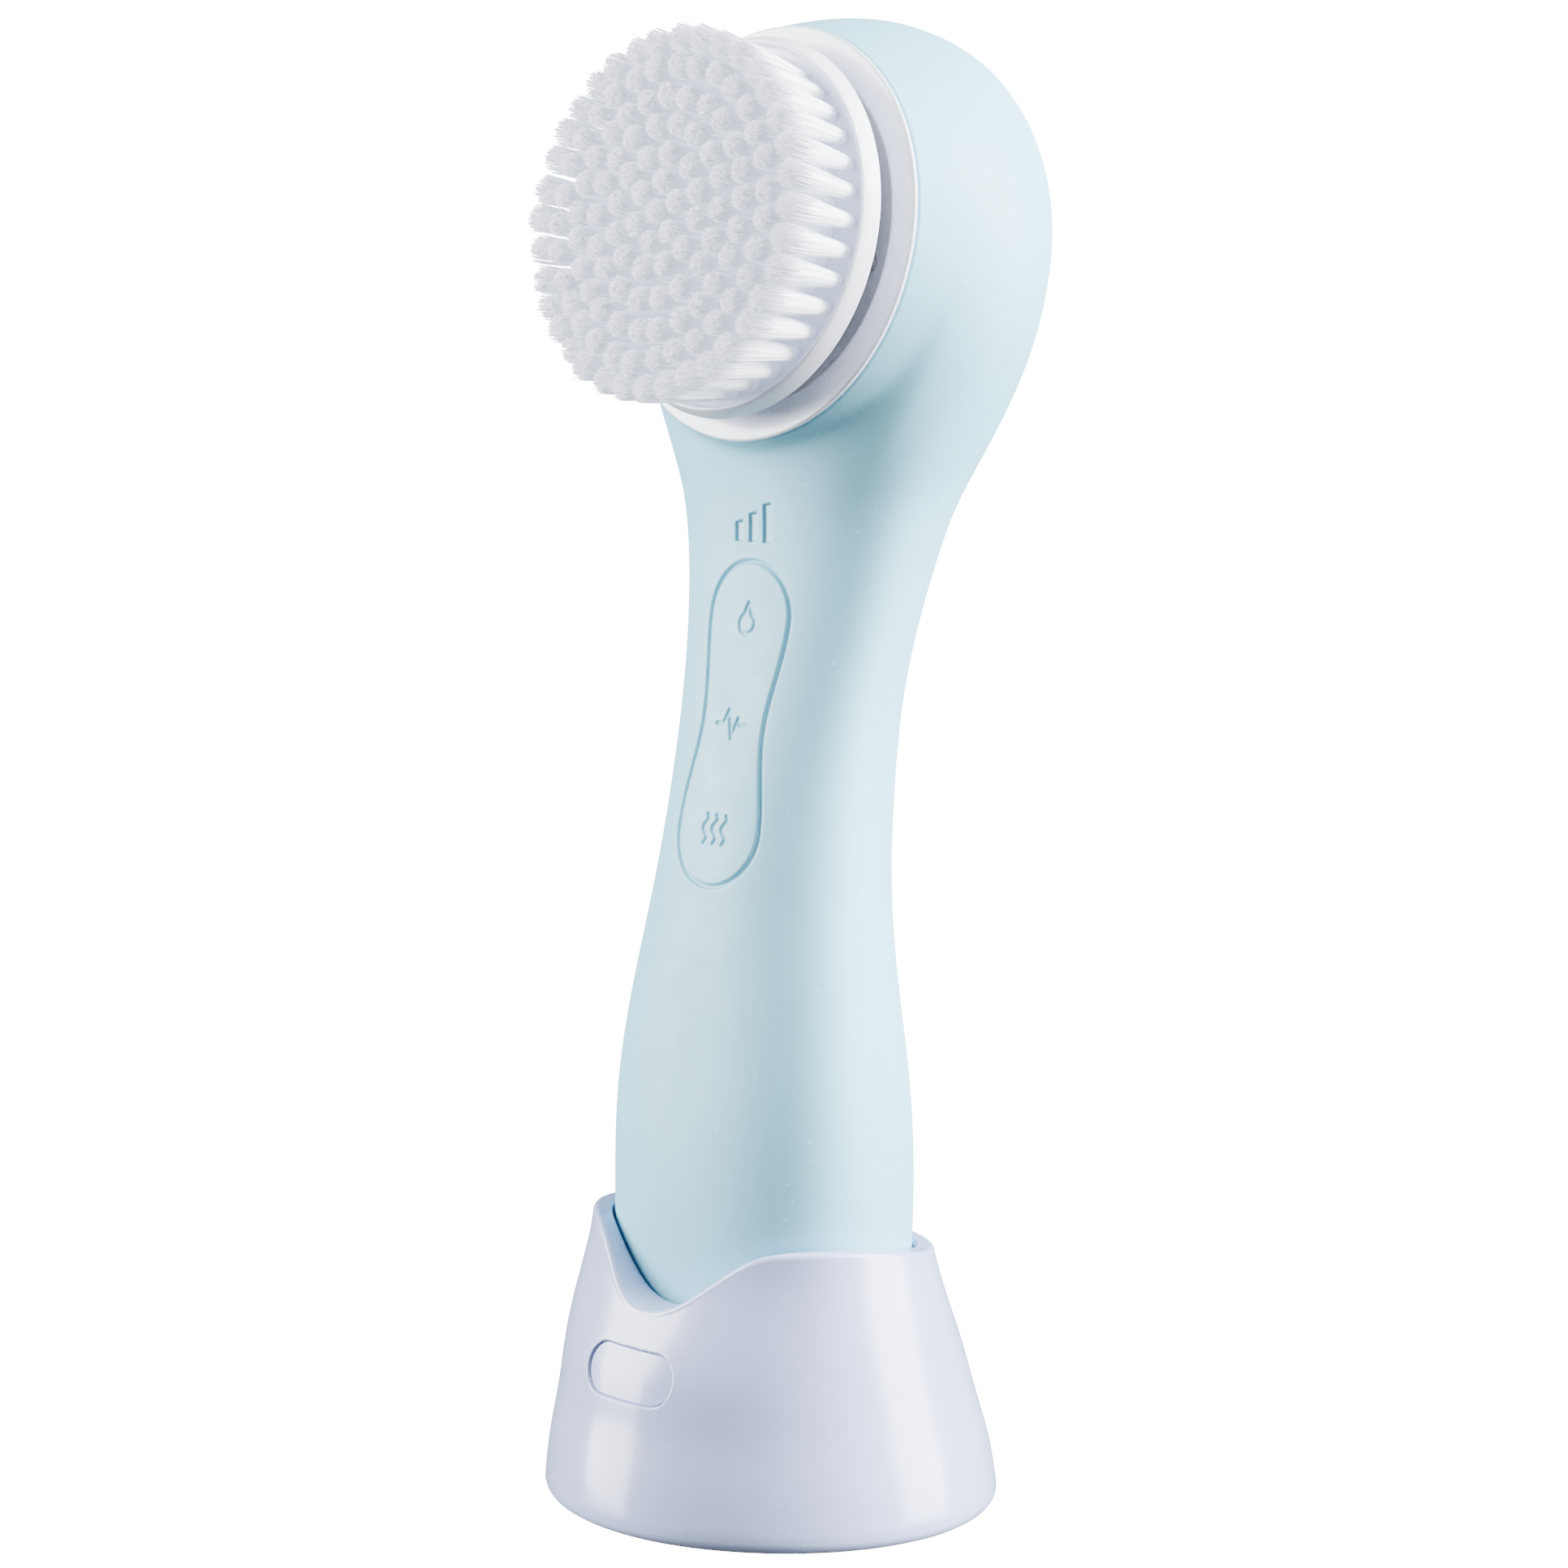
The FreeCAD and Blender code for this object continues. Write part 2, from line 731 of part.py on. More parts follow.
def build_battery():
    top = D.cell_bottom + D.cell_length
    cell = turned(
        "battery_cell",
        [
            (0, D.cell_bottom),
            (D.cell_radius, D.cell_bottom),
            (D.cell_radius, top - 1.0),
            (D.cell_radius - 1.0, top),
            (2.6, top),
            (2.6, top + 0.9),
            (0, top + 0.9),
        ],
    )
    node(move(cell, y=D.cell_y), "battery_cell")
    outer = cylinder("holder_outer", D.cell_radius + D.holder_wall, D.cell_bottom - 2.0, top + 2.4)
    inner = cylinder("holder_inner", D.cell_radius, D.cell_bottom, top + 0.9)
    mouth = box("holder_mouth", 2 * FAR, FAR, 0, 2 * FAR, y=-FAR / 2 - 1.0)
    cradle = cut("holder_shell", outer, fuse("holder_hollow", [inner, mouth]))
    node(move(cradle, y=D.cell_y), "battery_holder")


def build_receive_coil():
    top = D.receive_coil_z + D.coil_height
    coil = ring("receive_coil", D.coil_inner, D.coil_outer, D.receive_coil_z, top)
    node(move(coil, y=D.cell_y), "receive_coil")
    shield = turned("coil_shield", [(0, top), (D.shield_radius, top), (D.shield_radius, top + D.shield_height),
                                    (0, top + D.shield_height)])
    node(move(shield, y=D.cell_y), "coil_shield")


# ---------------------------------------------------------------- head mechanism


def build_bezel():
    outer = D.drum_front_radius
    outline = [
        (D.bezel_inner, -D.bezel_depth),
        (D.bezel_skirt, -D.bezel_depth),
        (D.bezel_skirt, D.drum_front),
        (outer, D.drum_front),
        (outer, -0.45),
        (outer - 0.15, -0.15),
        (outer - 0.5, 0.0),
        (outer - 3.9, -0.2),
        (outer - 4.6, -0.9),
        (D.bezel_inner, -1.8),
    ]
    node(in_head(turned("bezel_ring", outline)), "bezel_ring")


def gear_outline(teeth, turn):
    """Outline of an involute spur gear with stub teeth, one of them centred on the angle turn."""
    module = DIMENSIONS["gear_module"]
    pitch = module * teeth / 2
    base = pitch * math.cos(PRESSURE_ANGLE)
    tip = pitch + ADDENDUM * module
    root = pitch - DEDENDUM * module
    involute_at_pitch = math.tan(PRESSURE_ANGLE) - PRESSURE_ANGLE
    half_tooth = math.pi / (2 * teeth) - DIMENSIONS["tooth_backlash"] / (2 * pitch)

    def flank_angle(radius):
        pressure = math.acos(min(1.0, base / radius))
        return half_tooth + involute_at_pitch - (math.tan(pressure) - pressure)

    start = max(base, root)
    radii = [start + (tip - start) * step / 4 for step in range(5)]
    edges = []
    for tooth in range(teeth):
        centre = turn + 2 * math.pi * tooth / teeth
        rising = [polar(radius, centre - flank_angle(radius)) for radius in radii]
        falling = [polar(radius, centre + flank_angle(radius)) for radius in reversed(radii)]
        foot_in = polar(root, centre - flank_angle(start))
        foot_out = polar(root, centre + flank_angle(start))
        next_foot = polar(root, centre + 2 * math.pi / teeth - flank_angle(start))
        if base > root:
            edges.append(Part.makeLine(foot_in, rising[0]))
        edges.append(smooth(rising))
        edges.append(Part.Arc(rising[-1], polar(tip, centre), falling[0]).toShape())
        edges.append(smooth(falling))
        if base > root:
            edges.append(Part.makeLine(falling[-1], foot_out))
        edges.append(Part.Arc(foot_out, polar(root, centre + math.pi / teeth), next_foot).toShape())
    return Part.Wire(edges)


def gear(name, teeth, turn, bottom, width):
    blank = doc.addObject("Part::Extrusion", name)
    blank.Base = feature(name + "_outline", Part.Face(gear_outline(teeth, turn)))
    blank.Dir = Vector(0, 0, 1)
    blank.DirMode = "Custom"
    blank.Solid = True
    bind(blank, "LengthFwd", width)
    return move(blank, z=bottom)


class Train:
    """Where the gears' centres lie, and how each is turned so that the teeth mesh at rest."""

    def __init__(self):
        module = DIMENSIONS["gear_module"]
        self.output = int(DIMENSIONS["output_teeth"])
        self.small = int(DIMENSIONS["idler_small_teeth"])
        self.large = int(DIMENSIONS["idler_large_teeth"])
        self.motor = int(DIMENSIONS["motor_teeth"])
        to_idler = module * (self.output + self.small) / 2
        idler_to_motor = module * (self.large + self.motor) / 2
        to_motor = DIMENSIONS["motor_reach"]
        self.idler_angle = math.radians(DIMENSIONS["idler_direction"])
        cosine = (to_idler**2 + to_motor**2 - idler_to_motor**2) / (2 * to_idler * to_motor)
        self.idler_centre = polar(to_idler, self.idler_angle)
        self.motor_centre = polar(to_motor, self.idler_angle + math.acos(cosine))
        offset = self.motor_centre - self.idler_centre
        self.motor_angle = math.atan2(offset.y, offset.x)

    def gap_facing(self, angle, teeth):
        return angle + math.pi + math.pi / teeth


def build_output(train):
    gear_body = gear("output_wheel", train.output, train.idler_angle, D.output_gear_z, D.output_gear_width)
    front = D.output_gear_z + D.output_gear_width
    bore = cylinder("output_bore", D.shaft_radius, D.output_gear_z, front)
    node(in_head(cut("output_gear", gear_body, bore)), "output_gear")
    rod = cylinder("shaft_rod", D.shaft_radius, D.plate_back + 0.2, D.shaft_tip)
    flat = box("shaft_flat_tool", FAR, FAR, D.shaft_flat_from, FAR, y=D.shaft_flat + FAR / 2)
    node(in_head(cut("drive_shaft", rod, flat)), "drive_shaft")
    clip = ring("retaining_clip", D.shaft_radius, D.clip_radius, D.clip_back, D.clip_front)
    node(in_head(clip), "retaining_clip")


def build_idler(train):
    x, y = train.idler_centre.x, train.idler_centre.y
    middle = D.idler_large_z + D.idler_large_width
    large = gear("idler_wheel", train.large, train.motor_angle, D.idler_large_z, D.idler_large_width)
    small_turn = train.gap_facing(train.idler_angle, train.small)
    small = gear("idler_pinion", train.small, small_turn, middle, D.idler_small_width)
    bore = cylinder("idler_bore", D.idler_pin_radius + D.running_gap, D.idler_large_z - 1.0, 0)
    blank = cut("idler_blank", fuse("idler_solid", [large, small]), bore)
    shifted = move(group("idler_shifted", [blank]), x, y)
    node(in_head(group("idler_gear", [shifted])), "idler_gear")
    pin = cylinder("idler_rod", D.idler_pin_radius, D.plate_back, D.deck_back + 1.0, x, y)
    node(in_head(group("idler_pin", [pin])), "idler_pin")


def build_motor(train):
    x, y = train.motor_centre.x, train.motor_centre.y
    inner = D.motor_radius - D.motor_wall
    front_wall = D.plate_back - D.motor_wall
    hole = D.motor_shaft_radius + D.running_gap
    can = turned(
        "motor_can_turned",
        [
            (hole, D.plate_back),
            (D.motor_radius, D.plate_back),
            (D.motor_radius, D.motor_back),
            (inner, D.motor_back),
            (inner, front_wall),
            (hole, front_wall),
        ],
    )
    node(in_head(group("motor_can", [move(can, x, y)])), "motor_can")
    cap = ring("motor_cap_turned", hole, D.motor_radius, D.motor_back - D.motor_cap, D.motor_back)
    node(in_head(group("motor_end_cap", [move(cap, x, y)])), "motor_end_cap")
    core = ring(
        "armature_turned",
        D.motor_shaft_radius,
        D.armature_radius,
        D.motor_back + D.armature_gap,
        front_wall - D.armature_gap,
    )
    node(in_head(group("motor_armature", [move(core, x, y)])), "motor_armature")
    front = D.motor_pinion_z + D.motor_pinion_width
    rod = cylinder("motor_rod", D.motor_shaft_radius, D.motor_back - 0.8, front, x, y)
    node(in_head(group("motor_shaft", [rod])), "motor_shaft")
    turn = train.gap_facing(train.motor_angle, train.motor)
    wheel = gear("motor_wheel", train.motor, turn, D.motor_pinion_z, D.motor_pinion_width)
    bore = cylinder("motor_bore", D.motor_shaft_radius, D.motor_pinion_z, front)
    pinion = move(group("pinion_shifted", [cut("pinion_blank", wheel, bore)]), x, y)
    node(in_head(group("motor_pinion", [pinion])), "motor_pinion")


def spacer_spots():
    for number, degrees in enumerate(SPACER_ANGLES):
        angle = math.radians(degrees)
        yield number, D.spacer_circle * math.cos(angle), D.spacer_circle * math.sin(angle)


def build_gearbox(train):
    idler = train.idler_centre
    motor = train.motor_centre
    slab = cylinder("deck_slab", FAR, D.deck_back, D.deck_front)
    disc = common("deck_disc", drum("deck_cavity", D.skin_wall.value + D.core_wall.value), slab)
    seat = cylinder("deck_seat", D.bearing_radius, D.deck_back, D.deck_front)
    pin_hole = cylinder("deck_pin_hole", D.idler_pin_radius, D.deck_back, D.deck_back + 1.0, idler.x, idler.y)
    holes = [
        cylinder(f"deck_hole_{number}", D.spacer_bore, D.deck_back, D.deck_front, x, y)
        for number, x, y in spacer_spots()
    ]
    node(in_head(cut("head_deck", disc, fuse("deck_holes", [seat, pin_hole] + holes))), "head_deck")
    plate = cylinder("gearbox_disc", D.plate_radius, D.plate_back, D.plate_front)
    holes = [
        cylinder("plate_seat_hole", D.bearing_radius, D.plate_back, D.plate_front),
        cylinder("plate_pin_hole", D.idler_pin_radius, D.plate_back, D.plate_front, idler.x, idler.y),
        cylinder("plate_motor_hole", 2.0, D.plate_back, D.plate_front, motor.x, motor.y),
    ]
    for number, x, y in spacer_spots():
        holes.append(cylinder(f"plate_hole_{number}", D.deck_screw_radius, D.plate_back, D.plate_front, x, y))
    node(in_head(cut("gearbox_plate", plate, fuse("plate_holes", holes))), "gearbox_plate")
    tubes = []
    screws = []
    for number, x, y in spacer_spots():
        tube = ring(f"spacer_{number}", D.spacer_bore, D.spacer_radius, D.plate_front, D.deck_back)
        tubes.append(move(tube, x, y))
        head_top = D.deck_front + D.deck_screw_head_height
        head = cylinder(f"deck_screw_head_{number}", D.deck_screw_head, D.deck_front, head_top, x, y)
        shank = cylinder(f"deck_screw_shank_{number}", D.deck_screw_radius, D.plate_back, head_top, x, y)
        screws.append(fuse(f"deck_screw_{number}", [head, shank]))
    node(in_head(group("deck_spacers", tubes)), "deck_spacers")
    node(in_head(group("deck_screws", screws)), "deck_screws")


def build_bearings():
    bore = D.shaft_radius + D.running_gap
    node(in_head(ring("front_bearing", bore, D.bearing_radius, D.deck_back, D.deck_front)), "front_bearing")
    node(in_head(ring("rear_bearing", bore, D.bearing_radius, D.plate_back, D.plate_front)), "rear_bearing")
    outline = [
        (bore, D.deck_front),
        (D.seal_radius, D.deck_front),
        (D.seal_radius, D.seal_front - 0.5),
        (bore + 0.8, D.seal_front),
        (bore, D.seal_front),
    ]
    node(in_head(turned("shaft_seal", outline)), "shaft_seal")


# ---------------------------------------------------------------- brush


def build_brush():
    rim = D.carrier_radius
    outline = [
        (D.socket_radius, D.carrier_back),
        (rim - 2.6, D.carrier_back),
        (rim - 0.5, D.carrier_back + 0.8),
        (rim, D.carrier_back + 1.6),
        (rim - 0.3, D.carrier_rim_top - 0.6),
        (rim - 0.9, D.carrier_rim_top),
        (rim - 1.6, D.carrier_rim_top - 0.2),
        (rim - 2.1, D.carrier_face),
        (0, D.carrier_face),
        (0, D.carrier_face - 0.6),
        (D.socket_radius, D.carrier_face - 0.6),
    ]
    node(in_head(turned("brush_carrier", outline)), "brush_carrier")
    blank = ring("socket_blank", D.latch_radius - 2.0, D.socket_radius, D.socket_back, D.carrier_face - 0.6)
    node(in_head(blank), "brush_socket")
    gap = D.socket_bore_gap
    core = cylinder("core_blank", D.latch_radius - 2.0, D.socket_back, D.carrier_face - 0.6)
    rod = cylinder("core_rod", D.shaft_radius + gap, D.socket_back, D.shaft_tip + 0.2)
    flat = box("core_flat", FAR, FAR, D.shaft_flat_from + 0.1, FAR, y=D.shaft_flat + gap + FAR / 2)
    bore = cut("core_bore", rod, flat)
    node(in_head(cut("drive_insert", core, bore)), "drive_insert")
    edge = D.bristle_edge
    crown = D.bristle_crown
    outline = [
        (0, D.carrier_face),
        (D.bristle_root_radius, D.carrier_face),
        (D.bristle_tip_radius, edge - 1.0),
        (D.bristle_tip_radius, edge),
        (D.bristle_tip_radius * 0.6, crown - 0.3),
        (0, crown),
    ]
    node(in_head(turned("bristle_field", outline)), "bristle_field")


# ---------------------------------------------------------------- stand


def rim_cutter():
    """What is cut away above the rim: a gentle slope to the back, and the dip at the front."""
    top = 2 * FAR
    slope = smooth([(-FAR / 2, y, z) for y, z in RIM_SIDE])
    first, last = RIM_SIDE[0], RIM_SIDE[-1]
    corners = [(-FAR / 2, last[0], last[1]), (-FAR / 2, last[0], top), (-FAR / 2, first[0], top),
               (-FAR / 2, first[0], first[1])]
    sides = [line(start, end) for start, end in zip(corners, corners[1:])]
    above = Part.Face(Part.Wire([slope] + sides)).extrude(Vector(FAR, 0, 0))
    points = [(-x, -FAR / 2, z) for x, z in reversed(RIM_DIP[1:])] + [(x, -FAR / 2, z) for x, z in RIM_DIP]
    curve = smooth(points)
    first, last = points[0], points[-1]
    corners = [last, (last[0], -FAR / 2, RIM_DIP_TOP), (first[0], -FAR / 2, RIM_DIP_TOP), first]
    sides = [line(start, end) for start, end in zip(corners, corners[1:])]
    dip = Part.Face(Part.Wire([curve] + sides)).extrude(Vector(0, FAR / 2 - 6.0, 0))
    return feature("rim_cutter", above.fuse(dip))


def cup(name, grow, bottom):
    """The space that the handle's foot stands in: its form, grown by grow, with its end at bottom."""
    return loft(name, HANDLE_SECTIONS, -grow, bottom=bottom)


def badge_prism(name, grow):
    half = (DIMENSIONS["badge_width"] - DIMENSIONS["badge_height"]) / 2
    radius = DIMENSIONS["badge_height"] / 2 + grow
    level = DIMENSIONS["badge_z"]
    far = -FAR / 2
    right = Part.Arc(
        Vector(half, far, level - radius), Vector(half + radius, far, level), Vector(half, far, level + radius)
    ).toShape()
    left = Part.Arc(
        Vector(-half, far, level + radius), Vector(-half - radius, far, level), Vector(-half, far, level - radius)
    ).toShape()
    upper = line((half, far, level + radius), (-half, far, level + radius))
    lower = line((-half, far, level - radius), (half, far, level - radius))
    outline = Part.Wire([right, upper, left, lower])
    return feature(name, Part.Face(outline).extrude(Vector(0, FAR / 2 - 10.0, 0)))


def base_spots():
    for across in (-1, 1):
        for along in (-1, 1):
            yield f"{across + 1}{along + 1}", D.base_screw_x * across, D.base_screw_y * along - 0.5


def foot_length(edge):
    """Length of an edge that lies in the stand's foot, and 0 for any other edge."""
    return edge.Length if edge.BoundBox.ZMax < 0.5 else 0.0


def build_stand_shell():
    outer = loft("stand_outer", STAND_SECTIONS, 0.0)
    inner = loft("stand_inner", STAND_SECTIONS, D.skirt_wall.value, bottom=-1.0)
    low = box("hollow_limit", 2 * FAR, 2 * FAR, -5.0, D.hollow_top)
    cup_space = cup("cup_space", D.cup_gap.value, D.cup_floor.value)
    bottom = D.cup_floor.value - D.cup_floor_wall.value
    cup_wall = cup("cup_wall_form", D.cup_gap.value + D.cup_wall.value, bottom)
    hollow = cut("skirt_hollow", common("skirt_space", inner, low), cup_wall)
    badge_floor = loft("badge_floor", STAND_SECTIONS, D.badge_depth.value)
    badge_face = loft("badge_face", STAND_SECTIONS, D.badge_recess.value)
    pocket = cut("badge_pocket", badge_prism("badge_pocket_prism", 0.0), badge_floor)
    inlet_floor = D.charging_board_z + D.charging_board_thickness
    inlet = box("inlet_hole", D.inlet_width, 20.0, inlet_floor, inlet_floor + D.inlet_height, y=30.0)
    trimmed = carve("stand_trimmed", outer, [rim_cutter(), cup_space, hollow, pocket, inlet])
    middle = loft("stand_middle", STAND_SECTIONS, D.skirt_wall.value * 0.5)
    posts = [
        cylinder("base_boss_" + name, D.base_boss_radius, D.pad_height + D.base_plate_height, D.base_boss_top, x, y)
        for name, x, y in base_spots()
    ]
    bosses = common("base_bosses", middle, group("base_boss_posts", posts))
    blank = fuse("stand_blank", [trimmed, bosses])
    drills = [
        cylinder("base_drill_" + name, D.base_screw_radius, 0, D.pad_height + D.base_screw_length + 1.0, x, y)
        for name, x, y in base_spots()
    ]
    drilled = cut("stand_drilled", blank, group("base_drills", drills))
    node(round_edge("stand_shell", drilled, D.foot_rounding.value, foot_length), "stand_shell")
    layer = cut("badge_layer", badge_face, badge_floor)
    node(common("badge_insert", badge_prism("badge_insert_prism", -0.05), layer), "badge_insert")


def build_base():
    """Anti-slip pad and bottom plate, with the four screws that hold the plate to the shell."""
    pad_form = loft("pad_form", STAND_SECTIONS, D.skirt_wall.value + D.pad_gap.value, bottom=-1.0)
    pad = common("pad_blank", pad_form, box("pad_slab", 2 * FAR, 2 * FAR, 0, D.pad_height))
    node(pad, "anti_slip_pad")
    plate_top = D.pad_height + D.base_plate_height
    plate_form = loft("plate_form", STAND_SECTIONS, D.skirt_wall.value + 0.15, bottom=-1.0)
    plate = common("base_plate_blank", plate_form, box("plate_slab", 2 * FAR, 2 * FAR, D.pad_height, plate_top))
    screws = []
    for name, x, y in base_spots():
        head = cylinder("base_screw_head_" + name, D.base_screw_head, D.pad_height, D.pad_height + 1.0, x, y)
        shank = cylinder("base_screw_shank_" + name, D.base_screw_radius, D.pad_height,
                         D.pad_height + D.base_screw_length, x, y)
        screws.append(fuse("base_screw_" + name, [head, shank]))
    node(cut("base_plate", plate, fuse("base_plate_holes", screws)), "base_plate")
    node(group("base_screws", screws), "base_screws")


def build_charger():
    top = D.charging_board_z + D.charging_board_thickness
    front, back, tip = D.charging_board_front, D.charging_board_back, D.board_tongue_back
    bottom = D.charging_board_z
    slab = box("charging_slab", D.charging_board_width, back - front, bottom, top, y=(back + front) * 0.5)
    tongue = box("charging_tongue", D.board_tongue_width, tip - front, bottom, top, y=(tip + front) * 0.5)
    node(fuse("charging_board", [slab, tongue]), "charging_board")
    coil_top = D.transmit_coil_z + D.coil_height
    coil = ring("transmit_coil", D.coil_inner, D.coil_outer, D.transmit_coil_z, coil_top)
    node(move(coil, y=D.cell_y), "transmit_coil")
    middle = D.inlet_y + D.inlet_depth * 0.5
    case = box("inlet_case", D.inlet_width, D.inlet_depth, top, top + D.inlet_height, y=middle)
    mouth = box("inlet_mouth", D.inlet_width - D.inlet_wall * 2, D.inlet_depth, top + D.inlet_wall,
                top + D.inlet_height - D.inlet_wall, y=middle + 1.0)
    shell = cut("inlet_shell", case, mouth)
    tongue = box("inlet_tongue", 6.0, D.inlet_depth - 1.5, top + 1.25, top + 1.95, y=middle)
    node(fuse("supply_inlet", [shell, tongue]), "supply_inlet")


# ---------------------------------------------------------------- build and write


def check_and_write():
    doc.recompute()
    for obj in doc.Objects:
        if "Invalid" in obj.State or "Error" in obj.State:
            raise RuntimeError(f"{obj.Name} failed: {obj.State}")
    for obj in nodes:
        if obj.Shape.isNull() or not obj.Shape.isValid() or not obj.Shape.Solids:
            raise RuntimeError(f"{obj.Label} has no valid solid")
    os.makedirs("parts", exist_ok=True)
    for obj in nodes:
        obj.Shape.exportStep(f"parts/{obj.Label}.step")
        print(f"{obj.Label}: {len(obj.Shape.Solids)} solids, {obj.Shape.Volume:.1f} mm3")


def main():
    fill_sheet()
    forms = build_forms()
    layer = build_keys(forms)
    build_skin(forms, layer)
    build_core(forms)
    build_heated_plate(forms)
    build_board()
    build_battery()
    build_receive_coil()
    train = Train()
    build_bezel()
    build_output(train)
    build_idler(train)
    build_motor(train)
    build_gearbox(train)
    build_bearings()
    build_brush()
    build_stand_shell()
    build_base()
    build_charger()
    check_and_write()


main()
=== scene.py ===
"""Looks of the facial cleansing brush in its stand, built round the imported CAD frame.

Lengths in the functions below are millimetres, as on a drawing; a mesh is turned into metres when it is made.
"""

import json
import math

import bmesh
import bpy
import numpy as np
from mathutils import Matrix, Vector


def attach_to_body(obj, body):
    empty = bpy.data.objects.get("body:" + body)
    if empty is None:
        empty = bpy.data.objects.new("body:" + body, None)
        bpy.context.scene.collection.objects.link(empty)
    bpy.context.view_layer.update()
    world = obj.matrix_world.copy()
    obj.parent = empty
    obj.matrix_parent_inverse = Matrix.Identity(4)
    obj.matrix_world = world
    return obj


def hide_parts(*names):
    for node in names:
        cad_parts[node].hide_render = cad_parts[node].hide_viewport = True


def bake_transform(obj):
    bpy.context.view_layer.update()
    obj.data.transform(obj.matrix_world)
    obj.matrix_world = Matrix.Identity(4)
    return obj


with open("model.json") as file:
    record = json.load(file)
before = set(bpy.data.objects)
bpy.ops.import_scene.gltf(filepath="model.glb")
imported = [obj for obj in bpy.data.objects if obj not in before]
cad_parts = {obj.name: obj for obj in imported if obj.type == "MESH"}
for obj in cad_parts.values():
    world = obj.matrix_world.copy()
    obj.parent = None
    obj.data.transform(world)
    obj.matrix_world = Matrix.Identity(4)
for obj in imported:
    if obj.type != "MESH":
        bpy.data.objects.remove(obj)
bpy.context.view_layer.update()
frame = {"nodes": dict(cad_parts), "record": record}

MM = 0.001
SEED = 7

# level above the floor, middle in Y, half width in X, half depth in Y, roundness of the superellipse
HANDLE_SECTIONS = [
    (9.0, -2.1, 19.4, 14.2, 2.4),
    (26.0, -2.1, 21.0, 15.4, 2.4),
    (45.0, -2.1, 21.7, 16.0, 2.4),
    (58.0, -2.2, 21.1, 14.9, 2.5),
    (71.0, -1.9, 19.5, 13.4, 2.4),
    (84.0, -0.85, 17.5, 12.4, 2.3),
    (97.0, 0.8, 16.3, 11.7, 2.35),
    (110.0, 2.65, 16.5, 10.55, 2.5),
    (122.0, 4.8, 18.1, 10.6, 2.5),
    (132.0, 6.6, 20.3, 11.9, 2.4),
    (141.0, 7.9, 23.0, 13.6, 2.3),
    (150.0, 9.2, 24.8, 14.4, 2.2),
    (160.0, 10.0, 25.0, 13.6, 2.2),
    (168.0, 11.0, 23.0, 11.0, 2.2),
]
STAND_SECTIONS = [
    (0.3, 0.0, 31.9, 30.7, 1.93),
    (8.5, -0.4, 31.0, 29.2, 1.94),
    (14.0, -0.85, 29.7, 27.7, 1.96),
    (21.0, -1.6, 28.2, 26.0, 1.98),
    (29.0, -2.2, 26.4, 21.8, 2.18),
    (36.0, -2.4, 24.9, 19.0, 2.3),
    (41.0, -2.6, 24.2, 18.4, 2.3),
]
# rim of the stand: its height seen from the side (y, z), and half of the dip seen from the front (x, z)
RIM_SIDE = [(-32.0, 39.3), (-14.0, 38.9), (-7.0, 38.4), (0.0, 37.3), (8.0, 36.1), (17.0, 35.7), (32.0, 35.6)]
RIM_DIP = [(0.0, 29.2), (5.0, 30.4), (9.5, 33.7), (14.0, 37.1), (19.0, 38.8), (25.0, 39.4)]

HEAD_Y, HEAD_Z, HEAD_TILT = -4.5, 169.7, math.radians(9.4)
DRUM_FRONT, DRUM_WIDEST, DRUM_BACK = -0.8, -15.5, -31.7
DRUM_FRONT_RADIUS, DRUM_RADIUS, DRUM_SWELL, DOME_ROUNDNESS = 27.3, 31.2, 1.6, 2.9
PLATE_HOLE = 16.08
NECK_BLEND, NECK_START = 9.0, 7.0
FOOT_LEVEL, FOOT_ROUNDING = 9.0, 4.0

KEY_Y, KEY_Z, KEY_TILT = -8.54, 105.5, math.radians(9.0)
KEY_REACH, KEY_TOP, KEY_BOTTOM, KEY_NECK = 21.6, 7.3, 7.45, 5.7
KEY_PITCH, KEY_ZONE = 14.0, 7.0
PANEL_HALF_WIDTH, PANEL_END, PANEL_SPACING = 8.1, 22.0, 0.12
PANEL_BACK = -6.0
GROOVE_EDGE, GROOVE_DEPTH, SLOT_DEPTH, PICTOGRAM_DEPTH = 0.14, 0.42, 0.6, 0.28
LIGHT_WIDTH, LIGHT_PITCH, LIGHT_BASE, LIGHT_SLANT = 1.0, 2.6, 24.3, 0.25
LIGHT_HEIGHTS = [2.3, 3.45, 4.75]

STAND_BOTTOM, STAND_EDGE, RIM_ROUND, CUP_ROUND = 0.3, 1.8, 0.75, 0.5
CUP_GAP, CUP_FLOOR, CUP_LIP = 0.4, 8.8, 0.55
BADGE_WIDTH, BADGE_HEIGHT, BADGE_LEVEL, BADGE_DEPTH = 15.6, 6.5, 21.0, 0.95

CARRIER_FACE, TIP_EDGE, TIP_CROWN = 5.2, 19.0, 20.0
TUFT_RINGS = [1, 6, 12, 18, 25, 31, 36]
TUFT_ROOT_CIRCLE, TUFT_TIP_CIRCLE, TUFT_SAG = 21.6, 22.6, 0.6
# share of a tuft's length, and the tuft's radius there
TUFT_SHAPE = [(0.0, 0.45), (0.02, 0.8), (0.07, 0.95), (0.3, 1.22), (0.5, 1.48), (0.75, 1.78), (1.0, 1.9)]
INNER_TUFTS = 0.85
CORE_END = 0.8
INNER_FIBRES, OUTER_FIBRES = 290, 220
INNER_LEVELS, OUTER_LEVELS = [0.6, 1.0], [0.08, 0.4, 0.75, 1.0]

CAMERA_AZIMUTH, CAMERA_YAW = math.radians(44.89), math.radians(-0.08)
CAMERA_PITCH, CAMERA_ROLL = math.radians(7.23), math.radians(0.64)
CAMERA_AWAY, CAMERA_HEIGHT = 546.28, 166.2
CAMERA_SENSOR, CAMERA_LENS = 36.0, 94.72

FAR = 50.0


